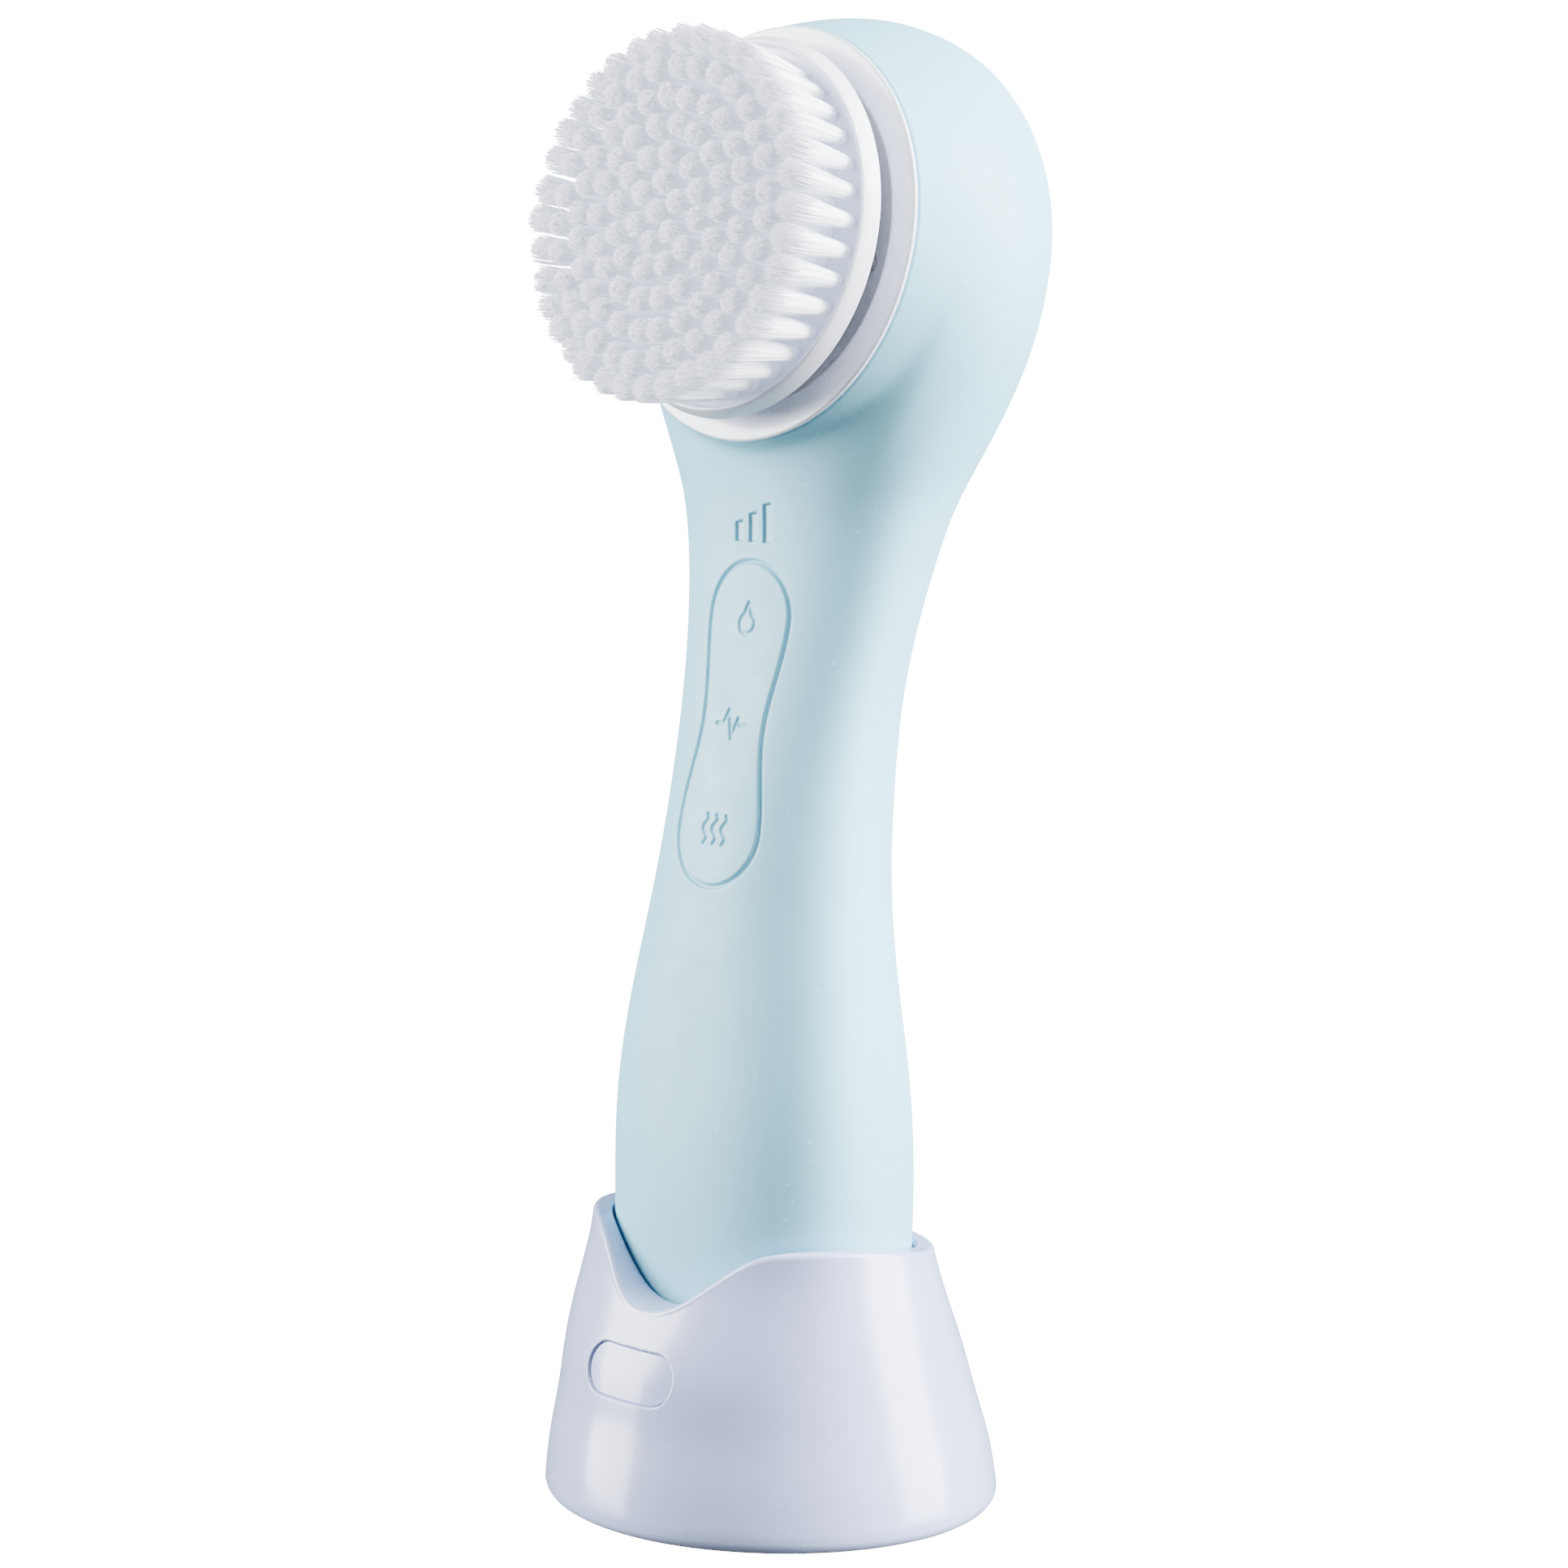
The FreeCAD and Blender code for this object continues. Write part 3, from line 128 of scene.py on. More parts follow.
# ---------------------------------------------------------------- mathematics


def smoothstep(low, high, value):
    t = np.clip((value - low) / (high - low), 0.0, 1.0)
    return t * t * (3.0 - 2.0 * t)


class Spline:
    """Natural cubic spline through rows of (position, value, value, ...)."""

    def __init__(self, rows):
        rows = np.array(rows, float)
        self.at = rows[:, 0]
        self.values = rows[:, 1:]
        step = np.diff(self.at)
        count = len(self.at)
        system = np.eye(count)
        right = np.zeros_like(self.values)
        for i in range(1, count - 1):
            system[i, i - 1 : i + 2] = step[i - 1], 2.0 * (step[i - 1] + step[i]), step[i]
            after = (self.values[i + 1] - self.values[i]) / step[i]
            before = (self.values[i] - self.values[i - 1]) / step[i - 1]
            right[i] = 6.0 * (after - before)
        self.bend = np.linalg.solve(system, right)

    def __call__(self, position):
        position = np.clip(np.asarray(position, float), self.at[0], self.at[-1])
        i = np.clip(np.searchsorted(self.at, position) - 1, 0, len(self.at) - 2)
        step = (self.at[i + 1] - self.at[i])[..., None]
        a = (self.at[i + 1] - position)[..., None] / step
        b = 1.0 - a
        cubic = (a**3 - a) * self.bend[i] + (b**3 - b) * self.bend[i + 1]
        return a * self.values[i] + b * self.values[i + 1] + cubic * step**2 / 6.0


class Axes:
    """A leaning frame of the object: z points out of its front, y up along it and x sideways."""

    def __init__(self, y, z, tilt):
        self.origin = np.array([0.0, y, z])
        self.x = np.array([1.0, 0.0, 0.0])
        self.y = np.array([0.0, math.sin(tilt), math.cos(tilt)])
        self.z = np.array([0.0, -math.cos(tilt), math.sin(tilt)])

    def to_local(self, points):
        offset = points - self.origin
        return np.stack([offset @ self.x, offset @ self.y, offset @ self.z], axis=-1)

    def to_world(self, local):
        local = np.asarray(local, float)
        return self.origin + local[..., :1] * self.x + local[..., 1:2] * self.y + local[..., 2:3] * self.z


HEAD = Axes(HEAD_Y, HEAD_Z, HEAD_TILT)
KEYS = Axes(KEY_Y, KEY_Z, KEY_TILT)
handle_profile = Spline(HANDLE_SECTIONS)
stand_profile = Spline(STAND_SECTIONS)
rim_side = Spline(RIM_SIDE)
rim_dip = Spline([(-x, z) for x, z in reversed(RIM_DIP[1:])] + RIM_DIP)


def superellipse(angles, width, depth, power):
    cosine, sine = np.cos(angles), np.sin(angles)
    scale = (np.abs(cosine) ** power + np.abs(sine) ** power) ** (-1.0 / power)
    return width * cosine * scale, depth * sine * scale


def section_distance(points, profile):
    """Distance from a lofted superellipse, measured across it; negative inside."""
    middle, width, depth, power = np.moveaxis(profile(points[:, 2]), -1, 0)
    x = np.abs(points[:, 0])
    y = np.abs(points[:, 1] - middle)
    reach = np.hypot(x, y)
    grade = ((x / width) ** power + (y / depth) ** power) ** (1.0 / power)
    return reach - reach / np.maximum(grade, 1e-6)


def drum_distance(local):
    """Distance from the head's drum, which is open towards its front; negative inside."""
    across = np.hypot(local[:, 0], local[:, 1])
    share = np.clip((DRUM_FRONT - local[:, 2]) / (DRUM_FRONT - DRUM_WIDEST), 0.0, 1.0)
    side = across - (DRUM_RADIUS - (DRUM_RADIUS - DRUM_FRONT_RADIUS) * (1.0 - share) ** DRUM_SWELL)
    behind = np.maximum(DRUM_WIDEST - local[:, 2], 0.0)
    depth = DRUM_WIDEST - DRUM_BACK
    grade = (across / DRUM_RADIUS) ** DOME_ROUNDNESS + (behind / depth) ** DOME_ROUNDNESS
    reach = np.hypot(across, behind)
    dome = reach - reach / np.maximum(grade ** (1.0 / DOME_ROUNDNESS), 1e-6)
    return np.where(behind > 0.0, dome, side)


def body_distance(points):
    """Signed distance from the silicone body: the handle flows into the head with a soft neck."""
    local = HEAD.to_local(points)
    drum = drum_distance(local)
    side = section_distance(points, handle_profile) + FOOT_ROUNDING
    under = FOOT_LEVEL - points[:, 2] + FOOT_ROUNDING
    rounded = np.hypot(np.maximum(side, 0.0), np.maximum(under, 0.0))
    stem = np.minimum(np.maximum(side, under), 0.0) + rounded - FOOT_ROUNDING
    stem = np.maximum(stem, points[:, 2] - HANDLE_SECTIONS[-1][0])
    blend = NECK_BLEND * smoothstep(0.0, NECK_START, DRUM_FRONT - local[:, 2]) + 1e-3
    share = np.clip(0.5 + 0.5 * (drum - stem) / blend, 0.0, 1.0)
    return drum * (1.0 - share) + stem * share - blend * share * (1.0 - share)


def gradient(distance, points, step=0.02):
    slope = np.zeros_like(points)
    for axis in range(3):
        shift = np.zeros(3)
        shift[axis] = step
        slope[:, axis] = distance(points + shift) - distance(points - shift)
    return slope / (2.0 * step)


def snap_to(distance, points, rounds=5):
    """The points moved along the gradient until they lie on the surface."""
    for _ in range(rounds):
        slope = gradient(distance, points)
        length = np.maximum((slope**2).sum(axis=1), 1e-6)
        points = points - slope * (distance(points) / length)[:, None]
    return points


def unit_normals(distance, points):
    slope = gradient(distance, points)
    return slope / np.linalg.norm(slope, axis=1, keepdims=True)


# ---------------------------------------------------------------- outlines on the key panel


def key_half_width(v):
    """Half width of the key area between the middles of its two round ends."""
    top, bottom = KEY_REACH - KEY_TOP, KEY_BOTTOM - KEY_REACH
    upward = smoothstep(0.0, top, v)
    downward = smoothstep(0.0, -bottom, -v)
    return KEY_NECK + (KEY_TOP - KEY_NECK) * upward + (KEY_BOTTOM - KEY_NECK) * downward


def key_outline(u, v):
    """Signed distance from the outline of the peanut-shaped key area."""
    top, bottom = KEY_REACH - KEY_TOP, KEY_BOTTOM - KEY_REACH
    upper = np.hypot(u, v - top) - KEY_TOP
    lower = np.hypot(u, v - bottom) - KEY_BOTTOM
    slope = (key_half_width(v + 0.05) - key_half_width(v - 0.05)) / 0.1
    between = (np.abs(u) - key_half_width(v)) / np.hypot(1.0, slope)
    return np.where(v > top, upper, np.where(v < bottom, lower, between))


def light_outline(u, v):
    """Signed distance from the nearest of the three light bars, whose tops slant."""
    nearest = np.full(np.shape(u), FAR)
    for index, height in enumerate(LIGHT_HEIGHTS):
        across = u - LIGHT_PITCH * (index - 1)
        side = np.abs(across) - LIGHT_WIDTH / 2
        top = v - (LIGHT_BASE + height + LIGHT_SLANT * across)
        nearest = np.minimum(nearest, np.maximum(np.maximum(side, top), LIGHT_BASE - v))
    return nearest


def pill_outline(u, v, width, height):
    reach = (width - height) / 2
    return np.hypot(np.maximum(np.abs(u) - reach, 0.0), v) - height / 2


def line_distance(u, v, path):
    """Distance from a path of straight runs."""
    nearest = np.full(np.shape(u), FAR)
    for (x0, y0), (x1, y1) in zip(path, path[1:]):
        run_x, run_y = x1 - x0, y1 - y0
        along = np.clip(((u - x0) * run_x + (v - y0) * run_y) / (run_x**2 + run_y**2), 0.0, 1.0)
        nearest = np.minimum(nearest, np.hypot(u - x0 - along * run_x, v - y0 - along * run_y))
    return nearest


def droplet():
    """Outline of a water drop, 4 mm tall: the pictogram of the cleaning key."""
    path = [(0.0, 2.2)]
    for degrees in range(30, 331, 12):
        angle = math.radians(90.0 - degrees)
        path.append((1.35 * math.cos(angle), -0.6 + 1.35 * math.sin(angle)))
    return path + [(0.0, 2.2)]


def heat_wave(offset):
    return [(offset + 0.42 * math.sin(step * 0.75), -1.9 + 0.3167 * step) for step in range(13)]


PICTOGRAMS = {
    "clean": [droplet()],
    "ems": [[(-2.7, 0.0), (-1.5, 0.0), (-0.8, 1.9), (0.3, -1.9), (1.1, 0.9), (1.5, 0.0), (2.7, 0.0)]],
    "heat": [heat_wave(-1.7), heat_wave(0.0), heat_wave(1.7)],
}


def pictogram_depth(key, u, v):
    nearest = np.full(np.shape(u), FAR)
    for path in PICTOGRAMS[key]:
        nearest = np.minimum(nearest, line_distance(u, v, path))
    return PICTOGRAM_DEPTH * (1.0 - smoothstep(0.1, 0.36, nearest))


# ---------------------------------------------------------------- meshes


def make_object(name, points, faces):
    """A new mesh object from points in millimetres."""
    mesh = bpy.data.meshes.new(name)
    mesh.from_pydata((np.asarray(points) * MM).tolist(), [], faces)
    mesh.validate()
    mesh.update()
    mesh.polygons.foreach_set("use_smooth", [True] * len(mesh.polygons))
    made = bpy.data.objects.new(name, mesh)
    bpy.context.scene.collection.objects.link(made)
    return made


def grid_faces(rows, columns, closed=True):
    """Quads between the rows of a grid whose columns may close on themselves."""
    faces = []
    for row in range(rows - 1):
        for column in range(columns if closed else columns - 1):
            after = (column + 1) % columns
            low, high = row * columns, (row + 1) * columns
            faces.append((low + column, low + after, high + after, high + column))
    return faces


def bm_points(bm):
    return np.array([vertex.co for vertex in bm.verts]) / MM


def set_bm_points(bm, points):
    for vertex, point in zip(bm.verts, points * MM):
        vertex.co = point


def corner_arc(centre, radius, start, end, steps):
    """Points of a small arc in (radius, height), from the angle start to end in degrees."""
    angles = [math.radians(start + (end - start) * step / steps) for step in range(steps + 1)]
    return [(centre[0] + radius * math.cos(a), centre[1] + radius * math.sin(a)) for a in angles]


def turned(name, profile, columns=240):
    """A ring or disc turned about the head's axis from its outline of (radius, height)."""
    angles = np.arange(columns) * (2.0 * math.pi / columns)
    rows = []
    for radius, height in profile:
        x, y = radius * np.cos(angles), radius * np.sin(angles)
        rows.append(np.stack([x, y, np.full(columns, height)], axis=1))
    points = HEAD.to_world(np.concatenate(rows))
    return make_object(name, points, grid_faces(len(profile), columns))


def recalculate_normals(made):
    bm = bmesh.new()
    bm.from_mesh(made.data)
    bmesh.ops.recalc_face_normals(bm, faces=bm.faces)
    bm.to_mesh(made.data)
    bm.free()


# ---------------------------------------------------------------- silicone body


def stem_mesh(columns=48):
    levels = np.arange(FOOT_LEVEL, HANDLE_SECTIONS[-1][0] + 0.1, 3.0)
    angles = np.arange(columns) * (2.0 * math.pi / columns)
    rows = []
    for level in levels:
        middle, width, depth, power = handle_profile(level)
        x, y = superellipse(angles, width, depth, power)
        rows.append(np.stack([x, y + middle, np.full(columns, level)], axis=1))
    faces = grid_faces(len(levels), columns)
    faces.append(tuple(reversed(range(columns))))
    faces.append(tuple(range((len(levels) - 1) * columns, len(levels) * columns)))
    return make_object("stem_base", np.concatenate(rows), faces)


def drum_mesh(columns=72):
    profile = [(DRUM_FRONT_RADIUS, 4.0), (DRUM_FRONT_RADIUS, DRUM_FRONT)]
    profile += [(29.5, -5.0), (DRUM_RADIUS, DRUM_WIDEST)]
    depth = DRUM_WIDEST - DRUM_BACK
    power = 2.0 / DOME_ROUNDNESS
    for degrees in range(10, 90, 10):
        angle = math.radians(degrees)
        radius = DRUM_RADIUS * math.cos(angle) ** power
        profile.append((radius, DRUM_WIDEST - depth * math.sin(angle) ** power))
    made = turned("drum_base", profile, columns)
    bm = bmesh.new()
    bm.from_mesh(made.data)
    bmesh.ops.holes_fill(bm, edges=[edge for edge in bm.edges if edge.is_boundary])
    bm.to_mesh(made.data)
    bm.free()
    return made


def remeshed(parts, voxel):
    """The parts joined into one even mesh of quads."""
    bpy.ops.object.select_all(action="DESELECT")
    for part in parts:
        recalculate_normals(part)
        part.select_set(True)
    bpy.context.view_layer.objects.active = parts[0]
    bpy.ops.object.join()
    joined = parts[0]
    modifier = joined.modifiers.new("even", "REMESH")
    modifier.mode = "VOXEL"
    modifier.voxel_size = voxel * MM
    bpy.ops.object.modifier_apply(modifier=modifier.name)
    return joined


def cut_head_front(bm, level):
    """Remove all of the mesh in front of a plane across the head's axis."""
    spot = Vector(HEAD.to_world([0.0, 0.0, level]) * MM)
    geometry = bm.verts[:] + bm.edges[:] + bm.faces[:]
    bmesh.ops.bisect_plane(
        bm, geom=geometry, dist=1e-7, plane_co=spot, plane_no=Vector(HEAD.z), clear_outer=True
    )


def relax(bm, distance, rounds):
    """Even out the mesh along its own surface; its open edges stay where they are."""
    bm.verts.index_update()
    pairs = np.array([[vertex.index for vertex in edge.verts] for edge in bm.edges])
    still = np.array([vertex.is_boundary for vertex in bm.verts])
    points = bm_points(bm)
    for _ in range(rounds):
        total = np.zeros_like(points)
        count = np.zeros(len(points))
        for here, there in (pairs.T, pairs[:, ::-1].T):
            np.add.at(total, here, points[there])
            np.add.at(count, here, 1.0)
        middle = total / count[:, None]
        moved = snap_to(distance, points + 0.6 * (middle - points), rounds=2)
        points = np.where(still[:, None], points, moved)
    set_bm_points(bm, snap_to(distance, points))


def near_outlines(points, margin):
    """True for points of the front of the handle that lie near the key area's edge or the light bars."""
    local = KEYS.to_local(points)
    u, v = local[:, 0], local[:, 1]
    close = np.minimum(np.abs(key_outline(u, v)), light_outline(u, v)) < margin
    return close & (local[:, 2] > PANEL_BACK)


def near_plate(points, margin):
    local = HEAD.to_local(points)
    return (np.abs(np.hypot(local[:, 0], local[:, 1]) - PLATE_HOLE) < margin) & (local[:, 2] < DRUM_WIDEST)


def refine(bm, chosen):
    """Split every edge whose two ends are chosen."""
    marked = {vertex for vertex, is_in in zip(bm.verts, chosen) if is_in}
    edges = [edge for edge in bm.edges if edge.verts[0] in marked and edge.verts[1] in marked]
    bmesh.ops.subdivide_edges(bm, edges=edges, cuts=1, use_grid_fill=True)
    set_bm_points(bm, snap_to(body_distance, bm_points(bm), rounds=3))


def open_hole(bm, outside, towards):
    """Remove the faces inside an outline and pull the hole's edge onto it.

    outside gives the distance from the outline for each point, and towards the direction away from it.
    """
    distance = outside(bm_points(bm))
    bm.verts.index_update()
    inner = [face for face in bm.faces if all(distance[vertex.index] < 0.03 for vertex in face.verts)]
    bmesh.ops.delete(bm, geom=inner, context="FACES")
    loose = [vertex for vertex in bm.verts if not vertex.link_faces]
    bmesh.ops.delete(bm, geom=loose, context="VERTS")
    points = bm_points(bm)
    distance = outside(points)
    edge = np.array([vertex.is_boundary for vertex in bm.verts]) & (np.abs(distance) < 1.5)
    for _ in range(3):
        moved = points - towards(points) * outside(points)[:, None]
        points = np.where(edge[:, None], snap_to(body_distance, moved, rounds=2), points)
    set_bm_points(bm, points)


def outside_keys(points):
    local = KEYS.to_local(points)
    distance = key_outline(local[:, 0], local[:, 1]) + GROOVE_EDGE
    return np.where(local[:, 2] > PANEL_BACK, distance, FAR)


def away_from_keys(points):
    return gradient(lambda p: key_outline(*KEYS.to_local(p).T[:2]), points)


def outside_plate(points):
    local = HEAD.to_local(points)
    distance = np.hypot(local[:, 0], local[:, 1]) - PLATE_HOLE
    return np.where(local[:, 2] < DRUM_WIDEST, distance, FAR)


def away_from_plate(points):
    return gradient(lambda p: np.hypot(*HEAD.to_local(p).T[:2]), points)


def groove_depth(points):
    """How deep the skin is drawn in at the groove round the keys and at the light bars."""
    local = KEYS.to_local(points)
    u, v = local[:, 0], local[:, 1]
    groove = GROOVE_DEPTH * (1.0 - smoothstep(0.08, 0.46, key_outline(u, v)))
    slots = SLOT_DEPTH * (1.0 - smoothstep(-0.05, 0.3, light_outline(u, v)))
    return np.where(local[:, 2] > PANEL_BACK, np.maximum(groove, slots), 0.0)


def fold_edge(bm, chosen, steps):
    """Extrude the chosen open edges once for each step, which maps the edge's points to the next ones."""
    edges = [edge for edge in bm.edges if edge.is_boundary and all(map(chosen, edge.verts))]
    for step in steps:
        made = bmesh.ops.extrude_edge_only(bm, edges=edges)["geom"]
        edges = [item for item in made if isinstance(item, bmesh.types.BMEdge)]
        verts = [item for item in made if isinstance(item, bmesh.types.BMVert)]
        points = step(np.array([vertex.co for vertex in verts]) / MM)
        for vertex, point in zip(verts, points * MM):
            vertex.co = point


def head_shift(across, along):
    """A step for fold_edge: draw the edge in towards the head's axis and move it along it."""

    def step(points):
        local = HEAD.to_local(points)
        reach = np.hypot(local[:, 0], local[:, 1])
        local[:, :2] *= (1.0 - across / reach)[:, None]
        local[:, 2] += along
        return HEAD.to_world(local)

    return step


def is_front_edge(vertex):
    local = HEAD.to_local(np.array([vertex.co]) / MM)[0]
    return local[2] > -2.0 and math.hypot(local[0], local[1]) > 20.0


def is_plate_edge(vertex):
    local = HEAD.to_local(np.array([vertex.co]) / MM)[0]
    return local[2] < DRUM_WIDEST


def is_key_edge(vertex):
    return vertex.co.z / MM < 130.0


def key_shift(points):
    return points - 0.5 * KEYS.z


def build_skin():
    """The silicone sleeve, with the grooves round its keys and its openings for the head's parts."""
    body = remeshed([stem_mesh(), drum_mesh()], 1.0)
    body.name = "silicone_body"
    bm = bmesh.new()
    bm.from_mesh(body.data)
    cut_head_front(bm, 2.0)
    relax(bm, body_distance, 6)
    cut_head_front(bm, DRUM_FRONT - 0.35)
    for margin in (2.6, 1.3, 0.7):
        points = bm_points(bm)
        refine(bm, near_outlines(points, margin) | near_plate(points, margin - 0.2))
    open_hole(bm, outside_keys, away_from_keys)
    open_hole(bm, outside_plate, away_from_plate)
    points = bm_points(bm)
    set_bm_points(bm, points - unit_normals(body_distance, points) * groove_depth(points)[:, None])
    lip = [(0.06, 0.2), (0.14, 0.11), (0.6, 0.04), (2.2, 0.0), (0.0, -1.4)]
    fold_edge(bm, is_front_edge, [head_shift(across, along) for across, along in lip])
    fold_edge(bm, is_plate_edge, [head_shift(-0.02, 0.25), head_shift(0.0, 0.9)])
    fold_edge(bm, is_key_edge, [key_shift])
    bmesh.ops.recalc_face_normals(bm, faces=bm.faces)
    for face in bm.faces:
        face.smooth = True
    bm.to_mesh(body.data)
    bm.free()
    return body


def lay_on_body(u, v):
    """The points of the body's front face over the panel positions (u, v)."""
    height = np.zeros(len(u))
    for _ in range(6):
        points = KEYS.to_world(np.stack([u, v, height], axis=1))
        slope = (body_distance(points + 0.02 * KEYS.z) - body_distance(points - 0.02 * KEYS.z)) / 0.04
        height -= body_distance(points) / slope
    return KEYS.to_world(np.stack([u, v, height], axis=1))


def panel_grid(low, high, spacing):
    """Grid cells over the key area between two levels, with the cells' outer edge pulled onto the outline."""
    columns = np.arange(-PANEL_HALF_WIDTH, PANEL_HALF_WIDTH + spacing, spacing)
    rows = np.linspace(low, high, max(2, int(round((high - low) / spacing)) + 1))
    u, v = np.meshgrid(columns, rows)
    distance = key_outline(u, v) + GROOVE_EDGE
    middle = (distance[1:, 1:] + distance[:-1, :-1] + distance[1:, :-1] + distance[:-1, 1:]) / 4
    kept = middle < 0.0
    corners = np.zeros(distance.shape, int)
    for row, column in ((0, 0), (0, 1), (1, 0), (1, 1)):
        corners[row : row + kept.shape[0], column : column + kept.shape[1]] += kept
    expected = np.full(distance.shape, 4)
    expected[[0, -1], :] = 2
    rim = (corners > 0) & (corners < expected)
    for _ in range(3):
        distance = key_outline(u, v) + GROOVE_EDGE
        slope_u = (key_outline(u + 0.02, v) - key_outline(u - 0.02, v)) / 0.04
        slope_v = (key_outline(u, v + 0.02) - key_outline(u, v - 0.02)) / 0.04
        slope_v[[0, -1], :] = 0.0
        u = np.where(rim, u - slope_u * distance, u)
        v = np.where(rim, v - slope_v * distance, v)
    return u, v, kept


def build_membrane(name, key, level, low, high):
    """Half of one key's zone of the soft membrane, with the key's debossed pictogram."""
    u, v, kept = panel_grid(low, high, PANEL_SPACING)
    columns = u.shape[1]
    faces = []
    for row, column in zip(*np.nonzero(kept)):
        corner = row * columns + column
        faces.append((corner, corner + 1, corner + columns + 1, corner + columns))
    used = sorted({corner for face in faces for corner in face})
    renumber = {corner: index for index, corner in enumerate(used)}
    faces = [tuple(renumber[corner] for corner in face) for face in faces]
    u, v = u.ravel()[used], v.ravel()[used]
    points = lay_on_body(u, v)
    edge = smoothstep(-0.52, -GROOVE_EDGE, key_outline(u, v))
    depth = GROOVE_DEPTH * edge + pictogram_depth(key, u, v - level) * (1.0 - edge)
    points = points - unit_normals(body_distance, points) * depth[:, None]
    made = make_object(name, points, faces)
    bm = bmesh.new()
    bm.from_mesh(made.data)
    outline = set(np.nonzero(np.abs(key_outline(u, v) + GROOVE_EDGE) < 0.01)[0].tolist())
    fold_edge(bm, lambda vertex: vertex.index in outline, [key_shift])
    for face in bm.faces:
        face.smooth = True
    bm.to_mesh(made.data)
    bm.free()
    return made


def build_keys():
    """Two soft pieces for each key, one on each side of its middle: each reaches from the key's middle to the
    end of its zone.
    """
    made = []
    zones = (
        ("heat", -KEY_PITCH, -PANEL_END, -KEY_ZONE),
        ("ems", 0.0, -KEY_ZONE, KEY_ZONE),
        ("clean", KEY_PITCH, KEY_ZONE, PANEL_END),
    )
    for name, level, low, high in zones:
        for part, start, end in (("lower", low, level), ("upper", level, high)):
            piece = build_membrane(f"{name}_membrane_{part}", name, level, start, end)
            made.append((piece, name, part, level))
    return made


# ---------------------------------------------------------------- bezel and carrier


def build_bezel():
    """Ring with a broad flat face that rolls over inwards, and a small crisp round at the skin."""
    edge = DRUM_FRONT_RADIUS
    profile = [(24.3, -2.7), (24.3, -0.78), (edge - 0.35, -0.78)]
    profile += corner_arc((edge - 0.34, -0.36), 0.34, -80, 92, 8)
    profile += [(edge - 0.8, 0.04), (26.0, 0.03), (25.2, 0.0), (24.4, -0.08)]
    profile += corner_arc((23.6, -1.1), 0.95, 82, 178, 9)
    profile += [(22.63, -1.9), (22.65, -2.75), (24.3, -2.7)]
    return turned("bezel_visual", profile)


def build_carrier():
    """Round plate: its rim leans inwards from a crisp outer edge to a rounded top."""
    rim, back, face = 25.0, 2.2, CARRIER_FACE
    profile = [(8.0, back + 2.4), (8.0, back)]
    profile += corner_arc((rim - 2.2, back + 1.2), 1.2, -90, -25, 5)
    profile += corner_arc((rim - 0.2, back + 1.75), 0.2, -40, 25, 4)
    profile += [(rim - 0.25, 4.8), (rim - 0.52, 5.6)]
    profile += corner_arc((rim - 1.02, 5.95), 0.3, 20, 160, 6)
    profile += corner_arc((rim - 1.75, face + 0.3), 0.3, 0, -90, 4)
    profile += [(radius, face) for radius in (22.0, 20.0, 14.0, 8.0, 3.0, 0.02)]
    return turned("carrier_visual", profile)


# ---------------------------------------------------------------- bristles


def tuft_spots():
    """Where each tuft stands: the ring it belongs to, its root and its tip, in the head's frame."""
    rng = np.random.default_rng(SEED)
    spots = []
    for ring, count in enumerate(TUFT_RINGS):
        root = TUFT_ROOT_CIRCLE * ring / (len(TUFT_RINGS) - 1)
        tip = TUFT_TIP_CIRCLE * ring / (len(TUFT_RINGS) - 1)
        for number in range(count):
            angle = 2.0 * math.pi * (number + 0.37 * ring) / count
            crown = TIP_CROWN - (TIP_CROWN - TIP_EDGE) * (tip / TUFT_TIP_CIRCLE) ** 2
            wobble = rng.normal(0.0, (0.17, 0.17, 0.14))
            side = np.array([math.cos(angle), math.sin(angle), 0.0])
            foot = side * root + [0.0, -TUFT_SAG / 2, CARRIER_FACE]
            head = side * tip + [wobble[0], wobble[1] - TUFT_SAG, crown - 0.35 + wobble[2]]
            spots.append((ring, foot, head))
    return spots


def tuft_radius(share, ring):
    """Radius of a tuft at a share of its length; the tufts of the outer ring flare the most."""
    shares, radii = np.array(TUFT_SHAPE).T
    outer = np.asarray(ring) == len(TUFT_RINGS) - 1
    return np.interp(share, shares, radii) * np.where(outer, 1.0, INNER_TUFTS)


def tuft_core(ring, foot, head, columns=20):
    """Finger that fills the middle of a tuft, as packed fibres do: a round root, and a rough blunt end."""
    shares = np.array([0.0, 0.015, 0.035, 0.07, 0.18, 0.3, 0.45, 0.6, 0.7, 0.76, CORE_END])
    shrink = np.append(np.ones(7), [0.97, 0.9, 0.75, 0.3])
    angles = np.arange(columns) * (2.0 * math.pi / columns)
    ridge = 1.0 + 0.03 * np.cos(angles * 10)
    rows = []
    for share, radius in zip(shares, tuft_radius(shares, ring) * shrink):
        x, y = radius * ridge * np.cos(angles), radius * ridge * np.sin(angles)
        rows.append(foot + (head - foot) * share + np.stack([x, y, np.zeros(columns)], axis=1))
    last = (len(shares) - 1) * columns
    return np.concatenate(rows), grid_faces(len(shares), columns) + [tuple(range(last, last + columns))]


